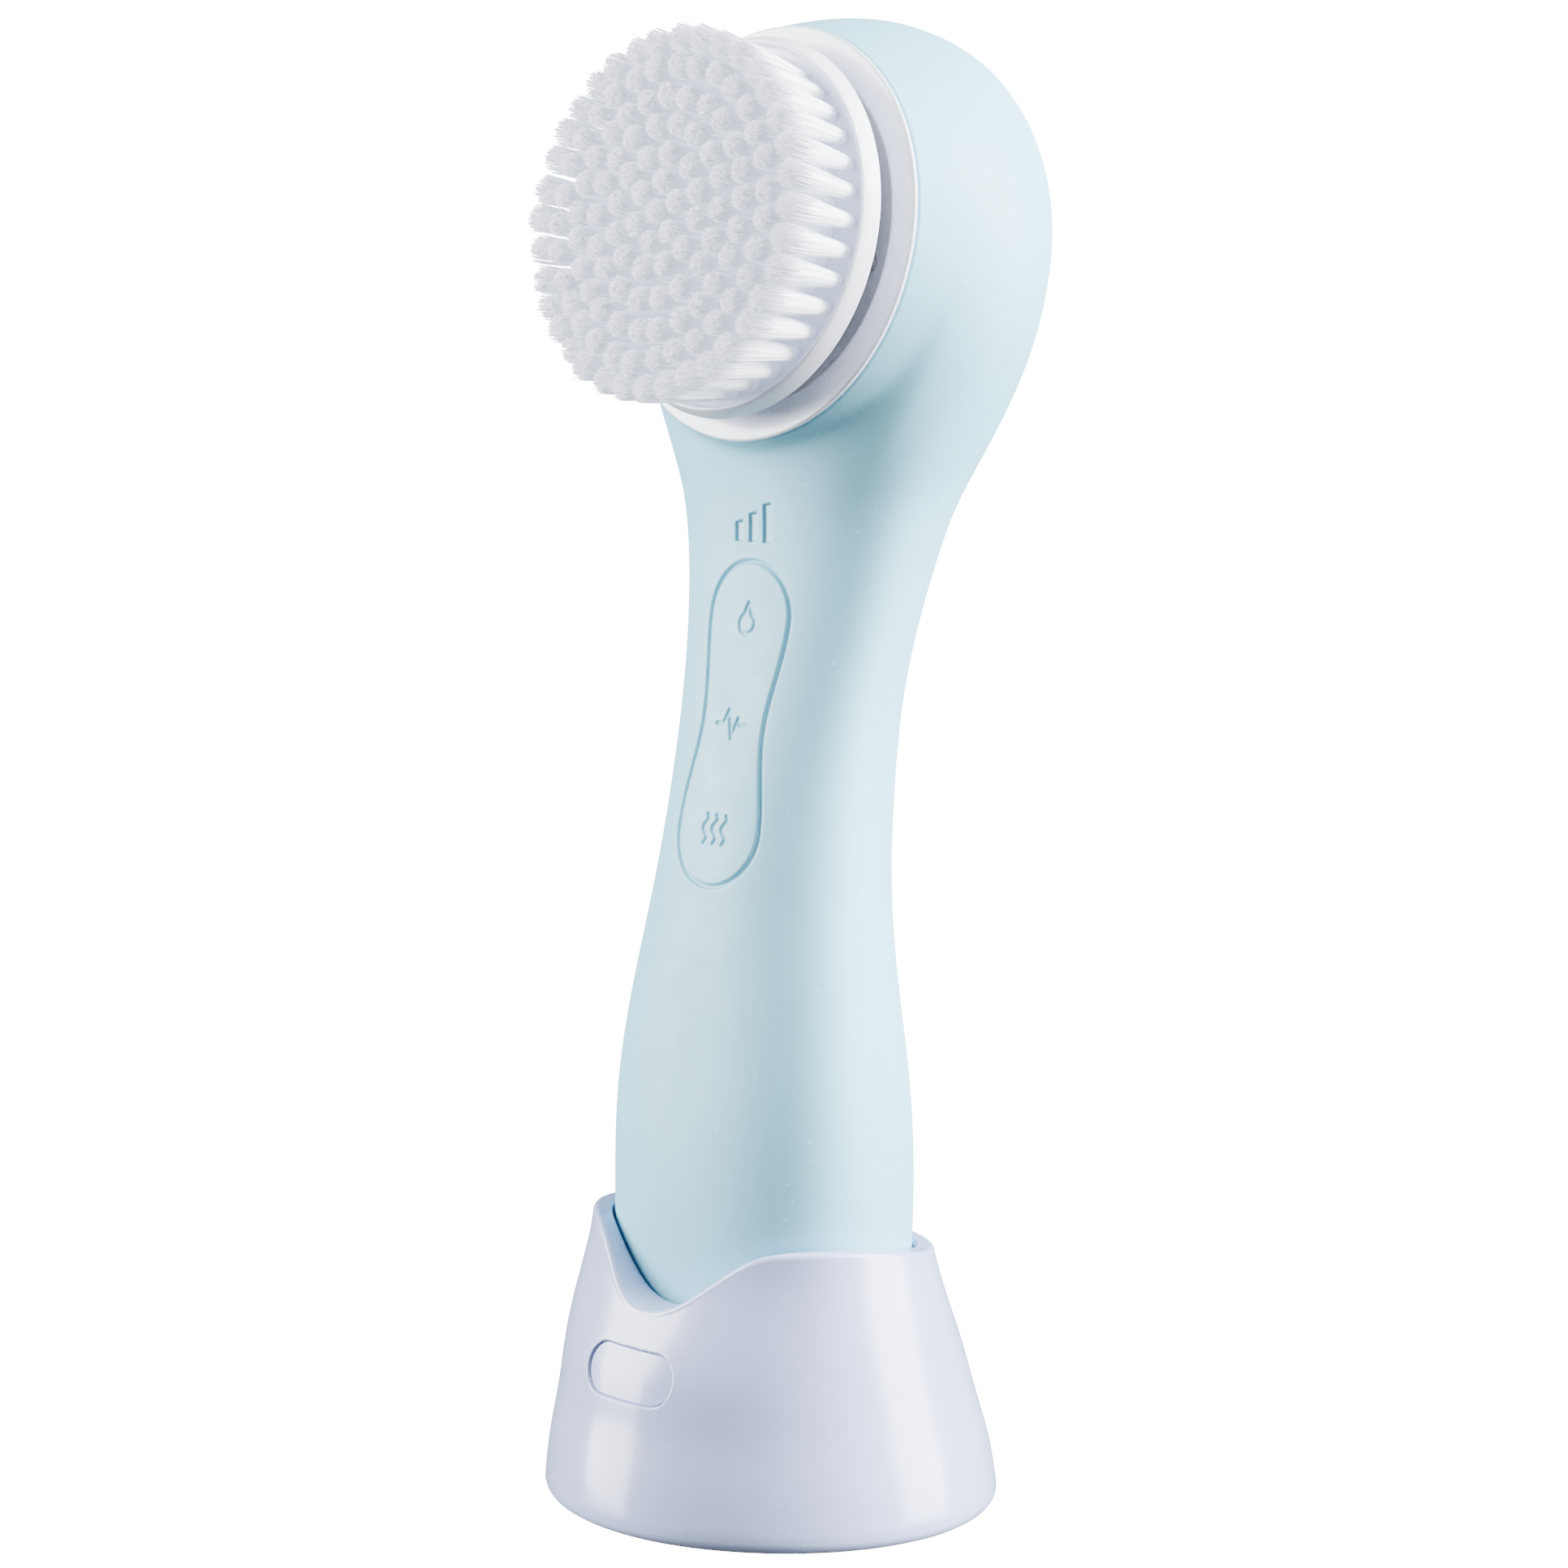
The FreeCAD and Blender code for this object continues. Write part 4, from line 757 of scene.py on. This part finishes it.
def fibre_paths(spots, fibres, levels, rng):
    """Middle points of every fibre of the tufts at the levels: an array of tuft, fibre, level and axis."""
    rings = np.array([ring for ring, _, _ in spots])[:, None, None]
    feet = np.array([foot for _, foot, _ in spots])[:, None, None, :]
    heads = np.array([head for _, _, head in spots])[:, None, None, :]
    size = (len(spots), fibres)
    angle = rng.uniform(0.0, 2.0 * math.pi, size)
    spread = np.sqrt(rng.uniform(0.0, 1.0, size))
    stray = np.where(rng.uniform(0.0, 1.0, size) > 0.992, rng.uniform(0.4, 1.2, size), 0.0)
    length = 1.0 + rng.normal(0.0, 0.012, size) - 0.045 * spread**3
    lean = rng.normal(0.0, 0.07, (*size, 3)) * [1.0, 1.0, 0.0]
    side = np.stack([np.cos(angle), np.sin(angle), np.zeros(size)], axis=-1)
    share = levels * length[..., None]
    reach = tuft_radius(levels, rings) * spread[..., None] + stray[..., None] * levels**2
    middle = feet + (heads - feet) * share[..., None]
    return middle + side[:, :, None, :] * reach[..., None] + lean[:, :, None, :] * (levels**2)[:, None]


def fibre_mesh(spots, fibres, levels, seed):
    """Three-sided fibres with blunt tips, a little finer towards their ends."""
    levels = np.array(levels)
    count = len(levels)
    paths = fibre_paths(spots, fibres, levels, np.random.default_rng(seed)).reshape(-1, count, 1, 3)
    thickness = (0.082 - 0.018 * levels**2)[:, None, None]
    turns = np.radians([0.0, 120.0, 240.0])
    corners = np.stack([np.cos(turns), np.sin(turns), np.zeros(3)], axis=1)
    points = (paths + corners * thickness).reshape(-1, 3)
    pattern = np.array(grid_faces(count, 3))
    starts = np.arange(len(paths))[:, None] * 3 * count
    faces = (starts[:, :, None] + pattern).reshape(-1, 4).tolist()
    return points, faces + (starts + np.arange(3 * count - 3, 3 * count)).tolist()


def build_cores(spots):
    points, faces = [], []
    for spot in spots:
        tuft, quads = tuft_core(*spot)
        offset = len(points) * len(tuft)
        faces.extend(tuple(corner + offset for corner in quad) for quad in quads)
        points.append(tuft)
    return make_object("bristle_cores", HEAD.to_world(np.concatenate(points)), faces)


def build_bristles():
    """The fibres of the inner rings, seen from their ends, are shorter than those of the outer ring."""
    spots = tuft_spots()
    made = []
    edge = len(TUFT_RINGS) - 1
    groups = (
        ("inner", range(edge), INNER_FIBRES, INNER_LEVELS),
        ("outer", range(edge, edge + 1), OUTER_FIBRES, OUTER_LEVELS),
    )
    for number, (name, rings, fibres, levels) in enumerate(groups):
        chosen = [spot for spot in spots if spot[0] in rings]
        points, faces = fibre_mesh(chosen, fibres, levels, SEED + number)
        made.append(make_object(f"bristle_fibres_{name}", HEAD.to_world(points), faces))
    return made + [build_cores(spots)]


# ---------------------------------------------------------------- stand


def rim_height(x, y):
    side = rim_side(y)[..., 0]
    dip = rim_dip(x)[..., 0]
    blend = 1.2
    share = np.clip(0.5 + 0.5 * (side - dip) / blend, 0.0, 1.0)
    dipped = side * (1.0 - share) + dip * share - blend * share * (1.0 - share)
    return np.where(y < -5.0, dipped, side)


def ring_at(angles, levels, profile, inset):
    """Points of a lofted wall, drawn in by inset, at a level of its own for each angle."""
    middle, width, depth, power = np.moveaxis(profile(levels), -1, 0)
    x, y = superellipse(angles, width - inset, depth - inset, power)
    return np.stack([x, y + middle, levels], axis=1)


def stand_angles():
    """Directions round the stand, close together across its front, where the pill-shaped recess is."""
    front = np.linspace(-23.0, 23.0, 170)
    rest = np.linspace(23.0, 337.0, 270)[1:-1]
    return np.radians(np.concatenate([front, rest]) - 90.0)


def outer_rim_levels(angles):
    levels = np.full(len(angles), 36.0)
    for _ in range(12):
        wall = ring_at(angles, levels, stand_profile, 0.0)
        levels = rim_height(wall[:, 0], wall[:, 1])
    return levels


def recess_depth(points):
    """How deep the stand's front is drawn in at the pill-shaped recess."""
    pill = pill_outline(points[:, 0], points[:, 2] - BADGE_LEVEL, BADGE_WIDTH, BADGE_HEIGHT)
    return np.where(points[:, 1] < -10.0, BADGE_DEPTH * (1.0 - smoothstep(-0.06, 0.26, pill)), 0.0)


def foot_rows(angles):
    """The rounded edge under the skirt."""
    rows = []
    for degrees in (90, 70, 50, 30, 10):
        turn = math.radians(degrees)
        levels = np.full(len(angles), STAND_BOTTOM + STAND_EDGE * (1.0 - math.sin(turn)))
        rows.append(ring_at(angles, levels, stand_profile, STAND_EDGE * (1.0 - math.cos(turn))))
    return rows


def skirt_rows(angles, rim):
    """The outer wall up to the rim, with its rows close together where the recess is."""
    low = STAND_BOTTOM + STAND_EDGE
    sparse, fine, top = np.linspace(0.03, 0.36, 14), np.linspace(0.37, 0.78, 90), np.linspace(0.79, 1.0, 24)
    rows = []
    for share in np.concatenate([sparse, fine, top]):
        wall = ring_at(angles, low + (rim - RIM_ROUND - low) * share, stand_profile, 0.0)
        wall[:, 1] += recess_depth(wall)
        rows.append(wall)
    return rows


def rounded_rows(edge, across, radius, turns):
    """Rows that round an edge: it rises by radius and moves by as much in the direction across."""
    rows = []
    for turn in np.radians(turns):
        row = edge.copy()
        row[:, :2] += across * (radius * (1.0 - math.cos(turn)))
        row[:, 2] += radius * math.sin(turn)
        rows.append(row)
    return rows


def lip_rows(outer, inner):
    """The top of the rim, from the outer wall to the wall of the cup."""
    gap = inner[:, :2] - outer[:, :2]
    across = gap / np.linalg.norm(gap, axis=1)[:, None]
    rows = rounded_rows(outer, across, RIM_ROUND, (15, 35, 55, 75, 90))
    start, end = rows[-1], inner + [0.0, 0.0, CUP_LIP]
    rows += [start * (1.0 - share) + end * share for share in (0.25, 0.5, 0.75, 0.9)]
    return rows + rounded_rows(inner, -across, CUP_ROUND, (70, 45, 20, 0))


def cup_rows(angles, levels):
    """The wall of the cup down to its floor, and the floor's middle."""
    rows = []
    for share in (0.25, 0.5, 0.75, 1.0):
        rows.append(ring_at(angles, levels * (1.0 - share) + CUP_FLOOR * share, handle_profile, -CUP_GAP))
    middle = ring_at(angles, np.full(len(angles), CUP_FLOOR - 0.05), handle_profile, 18.0)
    return rows + [middle]


def build_stand():
    """Skirt, rounded foot, wavy rim with its soft thick lip, and the wall of the cup inside it."""
    angles = stand_angles()
    rim = outer_rim_levels(angles)
    cup_edge = ring_at(angles, rim, handle_profile, -CUP_GAP)
    cup_levels = np.minimum(rim_height(cup_edge[:, 0], cup_edge[:, 1]), rim + 0.3) - CUP_LIP
    outer = ring_at(angles, rim - RIM_ROUND, stand_profile, 0.0)
    inner = ring_at(angles, cup_levels, handle_profile, -CUP_GAP)
    rows = foot_rows(angles) + skirt_rows(angles, rim) + lip_rows(outer, inner) + cup_rows(angles, cup_levels)
    return make_object("stand_visual", np.concatenate(rows), grid_faces(len(rows), len(angles)))


# ---------------------------------------------------------------- materials


def new_material(name):
    material = bpy.data.materials.new(name)
    material.use_nodes = True
    return material, material.node_tree, material.node_tree.nodes["Principled BSDF"]


def noise(tree, scale, detail=3.0):
    """Noise at a scale given in features for each metre."""
    place = tree.nodes.new("ShaderNodeTexCoord")
    made = tree.nodes.new("ShaderNodeTexNoise")
    made.inputs["Scale"].default_value = scale
    made.inputs["Detail"].default_value = detail
    made.inputs["Roughness"].default_value = 0.55
    tree.links.new(place.outputs["Object"], made.inputs["Vector"])
    return made.outputs["Fac"]


def colour_ramp(tree, source, stops):
    ramp = tree.nodes.new("ShaderNodeValToRGB")
    while len(ramp.color_ramp.elements) < len(stops):
        ramp.color_ramp.elements.new(0.5)
    for element, (position, colour) in zip(ramp.color_ramp.elements, stops):
        element.position = position
        element.color = (*colour, 1.0)
    tree.links.new(source, ramp.inputs["Fac"])
    return ramp.outputs["Color"]


def bump(tree, shader, height, strength, distance):
    made = tree.nodes.new("ShaderNodeBump")
    made.inputs["Strength"].default_value = strength
    made.inputs["Distance"].default_value = distance
    tree.links.new(height, made.inputs["Height"])
    tree.links.new(made.outputs["Normal"], shader.inputs["Normal"])


def shade(colour, factor):
    return tuple(min(1.0, channel * factor) for channel in colour)


def add_specks(tree, base, colour, density):
    """Sparse fine dust over a base colour."""
    fine = noise(tree, 900.0, 1.0)
    mask = colour_ramp(tree, fine, [(density, (0.0, 0.0, 0.0)), (density + 0.03, (1.0, 1.0, 1.0))])
    mix = tree.nodes.new("ShaderNodeMix")
    mix.data_type = "RGBA"
    tree.links.new(mask, mix.inputs["Factor"])
    tree.links.new(base, mix.inputs["A"])
    mix.inputs["B"].default_value = (*colour, 1.0)
    return mix.outputs["Result"]


def gloss_range(tree, source, roughness, spread):
    """Roughness that varies by spread about its middle value."""
    low, high = roughness * (1.0 - spread), roughness * (1.0 + spread)
    return colour_ramp(tree, source, [(0.3, (low,) * 3), (0.7, (high,) * 3)])


def plastic(name, colour, roughness, grain, depth, coat=0.0, variation=0.03, specks=None, scatter=0.0):
    """Moulded plastic or silicone: slight colour variation, fine surface grain and uneven gloss."""
    material, tree, shader = new_material(name)
    cloud = noise(tree, 38.0, 2.0)
    stops = [(0.35, shade(colour, 1.0 - variation)), (0.65, shade(colour, 1.0 + variation))]
    base = colour_ramp(tree, cloud, stops)
    if specks:
        base = add_specks(tree, base, specks, 0.735)
    tree.links.new(base, shader.inputs["Base Color"])
    tree.links.new(gloss_range(tree, noise(tree, 210.0), roughness, 0.12), shader.inputs["Roughness"])
    shader.inputs["Coat Weight"].default_value = coat
    shader.inputs["Coat Roughness"].default_value = 0.12
    if scatter:
        shader.inputs["Subsurface Weight"].default_value = scatter
        shader.inputs["Subsurface Radius"].default_value = (0.9, 1.0, 1.1)
        shader.inputs["Subsurface Scale"].default_value = 0.0012
    bump(tree, shader, noise(tree, grain, 4.0), depth, 0.0002)
    return material


def metal(name, colour, roughness, stretch=(1.0, 1.0, 14.0)):
    """Metal with fine turned or brushed marks that run one way."""
    material, tree, shader = new_material(name)
    place = tree.nodes.new("ShaderNodeTexCoord")
    mapping = tree.nodes.new("ShaderNodeMapping")
    mapping.inputs["Scale"].default_value = stretch
    marks = tree.nodes.new("ShaderNodeTexNoise")
    marks.inputs["Scale"].default_value = 260.0
    marks.inputs["Detail"].default_value = 5.0
    tree.links.new(place.outputs["Object"], mapping.inputs["Vector"])
    tree.links.new(mapping.outputs["Vector"], marks.inputs["Vector"])
    stops = [(0.35, shade(colour, 0.93)), (0.65, shade(colour, 1.05))]
    tree.links.new(colour_ramp(tree, marks.outputs["Fac"], stops), shader.inputs["Base Color"])
    tree.links.new(gloss_range(tree, marks.outputs["Fac"], roughness, 0.2), shader.inputs["Roughness"])
    shader.inputs["Metallic"].default_value = 1.0
    bump(tree, shader, marks.outputs["Fac"], 0.05, 0.0001)
    return material


def bristle_material(name, colour):
    """White nylon: the field is a little lighter or darker from place to place; a little light passes through
    by subsurface scattering, and a faint bluish emission is a painted glow that stands in for light shining
    through the tufts.
    """
    material, tree, shader = new_material(name)
    stops = [(0.35, shade(colour, 0.95)), (0.65, colour)]
    tree.links.new(colour_ramp(tree, noise(tree, 420.0, 2.0), stops), shader.inputs["Base Color"])
    shader.inputs["Roughness"].default_value = 0.42
    shader.inputs["Sheen Weight"].default_value = 0.15
    # painted glow: the fibres give off a faint bluish light of their own, standing in for light shining
    # through the tufts
    shader.inputs["Emission Color"].default_value = (0.8, 0.87, 1.0, 1.0)
    shader.inputs["Emission Strength"].default_value = 0.42
    shader.inputs["Subsurface Weight"].default_value = 0.25
    shader.inputs["Subsurface Radius"].default_value = (0.6, 0.65, 0.7)
    shader.inputs["Subsurface Scale"].default_value = 0.0008
    bump(tree, shader, noise(tree, 3000.0, 2.0), 0.1, 0.0001)
    return material


MINT = (0.235, 0.585, 0.73)
LAVENDER = (0.40, 0.47, 0.74)
PALE = (0.83, 0.865, 0.98)


def make_materials():
    dust = shade(MINT, 1.22)
    return {
        "silicone_mint": plastic("mint_silicone", MINT, 0.5, 1500.0, 0.05, specks=dust, scatter=0.12),
        "gloss_lavender": plastic("lavender_gloss", LAVENDER, 0.26, 900.0, 0.015, coat=0.35, variation=0.012),
        "gloss_white": plastic("pale_gloss", PALE, 0.28, 900.0, 0.015, coat=0.3, variation=0.012),
        "bristle_nylon": bristle_material("bristle_nylon_painted_glow", (0.87, 0.905, 1.0)),
        "light_diffuser": plastic("frosted_diffuser", shade(MINT, 1.04), 0.42, 1800.0, 0.06, scatter=0.2),
        "shell_plastic": plastic("moulded_shell", (0.72, 0.74, 0.78), 0.45, 1600.0, 0.12),
        "gear_plastic": plastic("acetal_gear", (0.82, 0.8, 0.72), 0.38, 1200.0, 0.06),
        "soft_rubber": plastic("soft_rubber", (0.33, 0.35, 0.38), 0.7, 2200.0, 0.25, variation=0.06),
        "polished_steel": metal("polished_steel", (0.78, 0.79, 0.81), 0.16),
        "steel": metal("turned_steel", (0.55, 0.56, 0.58), 0.32),
        "bronze": metal("sintered_bronze", (0.5, 0.33, 0.16), 0.42, stretch=(1.0, 1.0, 1.0)),
        "copper_winding": metal("copper_winding", (0.62, 0.28, 0.12), 0.35, stretch=(1.0, 1.0, 40.0)),
        "circuit_board": plastic("solder_mask", (0.02, 0.14, 0.07), 0.35, 1800.0, 0.1, variation=0.1),
        "ferrite": plastic("ferrite", (0.03, 0.03, 0.033), 0.6, 2400.0, 0.3),
        "battery_sleeve": plastic("battery_sleeve", (0.12, 0.22, 0.4), 0.3, 1000.0, 0.05),
        "heater_foil": metal("heater_foil", (0.62, 0.36, 0.12), 0.38, stretch=(30.0, 1.0, 1.0)),
    }


def paint(made, material):
    made.data.materials.clear()
    made.data.materials.append(material)


def paint_frame(materials):
    """Give every CAD node the material of its slot."""
    for part in frame["record"]["subparts"]:
        paint(frame["nodes"][part["node"]], materials[part["material_slot"]])


# ---------------------------------------------------------------- stage, lights and camera


def build_stage():
    """A pale floor that curves up into a backdrop."""
    half_width, curve_start, curve_radius = 2600.0, 600.0, 500.0
    outline = [(-1500.0, 0.0), (curve_start, 0.0)]
    for degrees in range(6, 91, 6):
        turn = math.radians(degrees)
        outline.append((curve_start + curve_radius * math.sin(turn), curve_radius * (1 - math.cos(turn))))
    outline.append((curve_start + curve_radius, 2600.0))
    points = np.array([(side, *spot) for spot in outline for side in (-half_width, half_width)])
    turn = Matrix.Rotation(math.radians(45.0), 3, "Z")
    points = points @ np.array(turn).T
    stage = make_object("backdrop", points, grid_faces(len(outline), 2, closed=False))
    material, tree, shader = new_material("backdrop_paper")
    stops = [(0.3, (0.93, 0.935, 0.94)), (0.7, (0.96, 0.962, 0.965))]
    paper = colour_ramp(tree, noise(tree, 3.0), stops)
    tree.links.new(paper, shader.inputs["Base Color"])
    tree.links.new(paper, shader.inputs["Emission Color"])
    shader.inputs["Emission Strength"].default_value = 16.0
    shader.inputs["Roughness"].default_value = 0.9
    stage.visible_diffuse = False
    stage.visible_glossy = False
    paint(stage, material)


def area_light(name, place, target, size, power):
    data = bpy.data.lights.new(name, "AREA")
    data.shape = "RECTANGLE"
    data.size, data.size_y = size
    data.energy = power
    lamp = bpy.data.objects.new(name, data)
    bpy.context.scene.collection.objects.link(lamp)
    lamp.location = Vector(place)
    lamp.rotation_euler = (Vector(target) - Vector(place)).to_track_quat("-Z", "Y").to_euler()


def build_lights():
    world = bpy.data.worlds.new("soft_room")
    world.use_nodes = True
    background = world.node_tree.nodes["Background"]
    background.inputs["Color"].default_value = (0.9, 0.95, 1.0, 1.0)
    background.inputs["Strength"].default_value = 0.25
    bpy.context.scene.world = world
    middle = (0.0, 0.0, 0.1)
    area_light("softbox_right", (0.75, 0.5, 0.3), middle, (0.6, 1.0), 78.0)
    area_light("softbox_left", (-0.73, -0.67, 0.3), middle, (0.6, 0.9), 54.0)
    area_light("softbox_top", (0.34, 0.16, 0.52), middle, (0.4, 0.4), 11.0)


def build_camera():
    """The camera: 45 degrees to the right of the object's front, and looking slightly down."""
    heading = CAMERA_AZIMUTH + CAMERA_YAW
    level = np.array([-math.sin(heading), math.cos(heading), 0.0])
    forward = level * math.cos(CAMERA_PITCH) - np.array([0.0, 0.0, math.sin(CAMERA_PITCH)])
    right = np.array([math.cos(heading), math.sin(heading), 0.0])
    upward = np.cross(right, forward)
    rolled_right = right * math.cos(CAMERA_ROLL) + upward * math.sin(CAMERA_ROLL)
    rolled_up = upward * math.cos(CAMERA_ROLL) - right * math.sin(CAMERA_ROLL)
    x, y = CAMERA_AWAY * math.sin(CAMERA_AZIMUTH), -CAMERA_AWAY * math.cos(CAMERA_AZIMUTH)
    place = np.array([x, y, CAMERA_HEIGHT]) * MM
    data = bpy.data.cameras.new("photo_camera")
    data.sensor_width = CAMERA_SENSOR
    data.lens = CAMERA_LENS
    camera = bpy.data.objects.new("photo_camera", data)
    bpy.context.scene.collection.objects.link(camera)
    turn = Matrix(np.stack([rolled_right, rolled_up, -forward], axis=1).tolist()).to_4x4()
    camera.matrix_world = Matrix.Translation(Vector(place)) @ turn
    bpy.context.scene.camera = camera


# ---------------------------------------------------------------- assembly


def attach(piece, body, slot, materials, *replaced):
    paint(piece, materials[slot])
    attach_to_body(piece, body)
    if replaced:
        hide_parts(*replaced)


def attach_membranes(materials):
    """Each half of a key's zone gets the silicone material and its transform baked in; the CAD key it
    replaces is hidden.
    """
    for piece, name, part, level in build_keys():
        paint(piece, materials["silicone_mint"])
        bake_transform(piece)
        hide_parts(name + "_key")


def main():
    materials = make_materials()
    paint_frame(materials)
    build_stage()
    build_lights()
    build_camera()
    attach(build_skin(), "handle", "silicone_mint", materials, "silicone_skin")
    attach_membranes(materials)
    attach(build_bezel(), "handle", "gloss_white", materials, "bezel_ring")
    attach(build_carrier(), "brush_head", "gloss_white", materials, "brush_carrier")
    for piece in build_bristles():
        attach(piece, "brush_head", "bristle_nylon", materials, "bristle_field")
    attach(build_stand(), "stand", "gloss_lavender", materials, "stand_shell")


main()
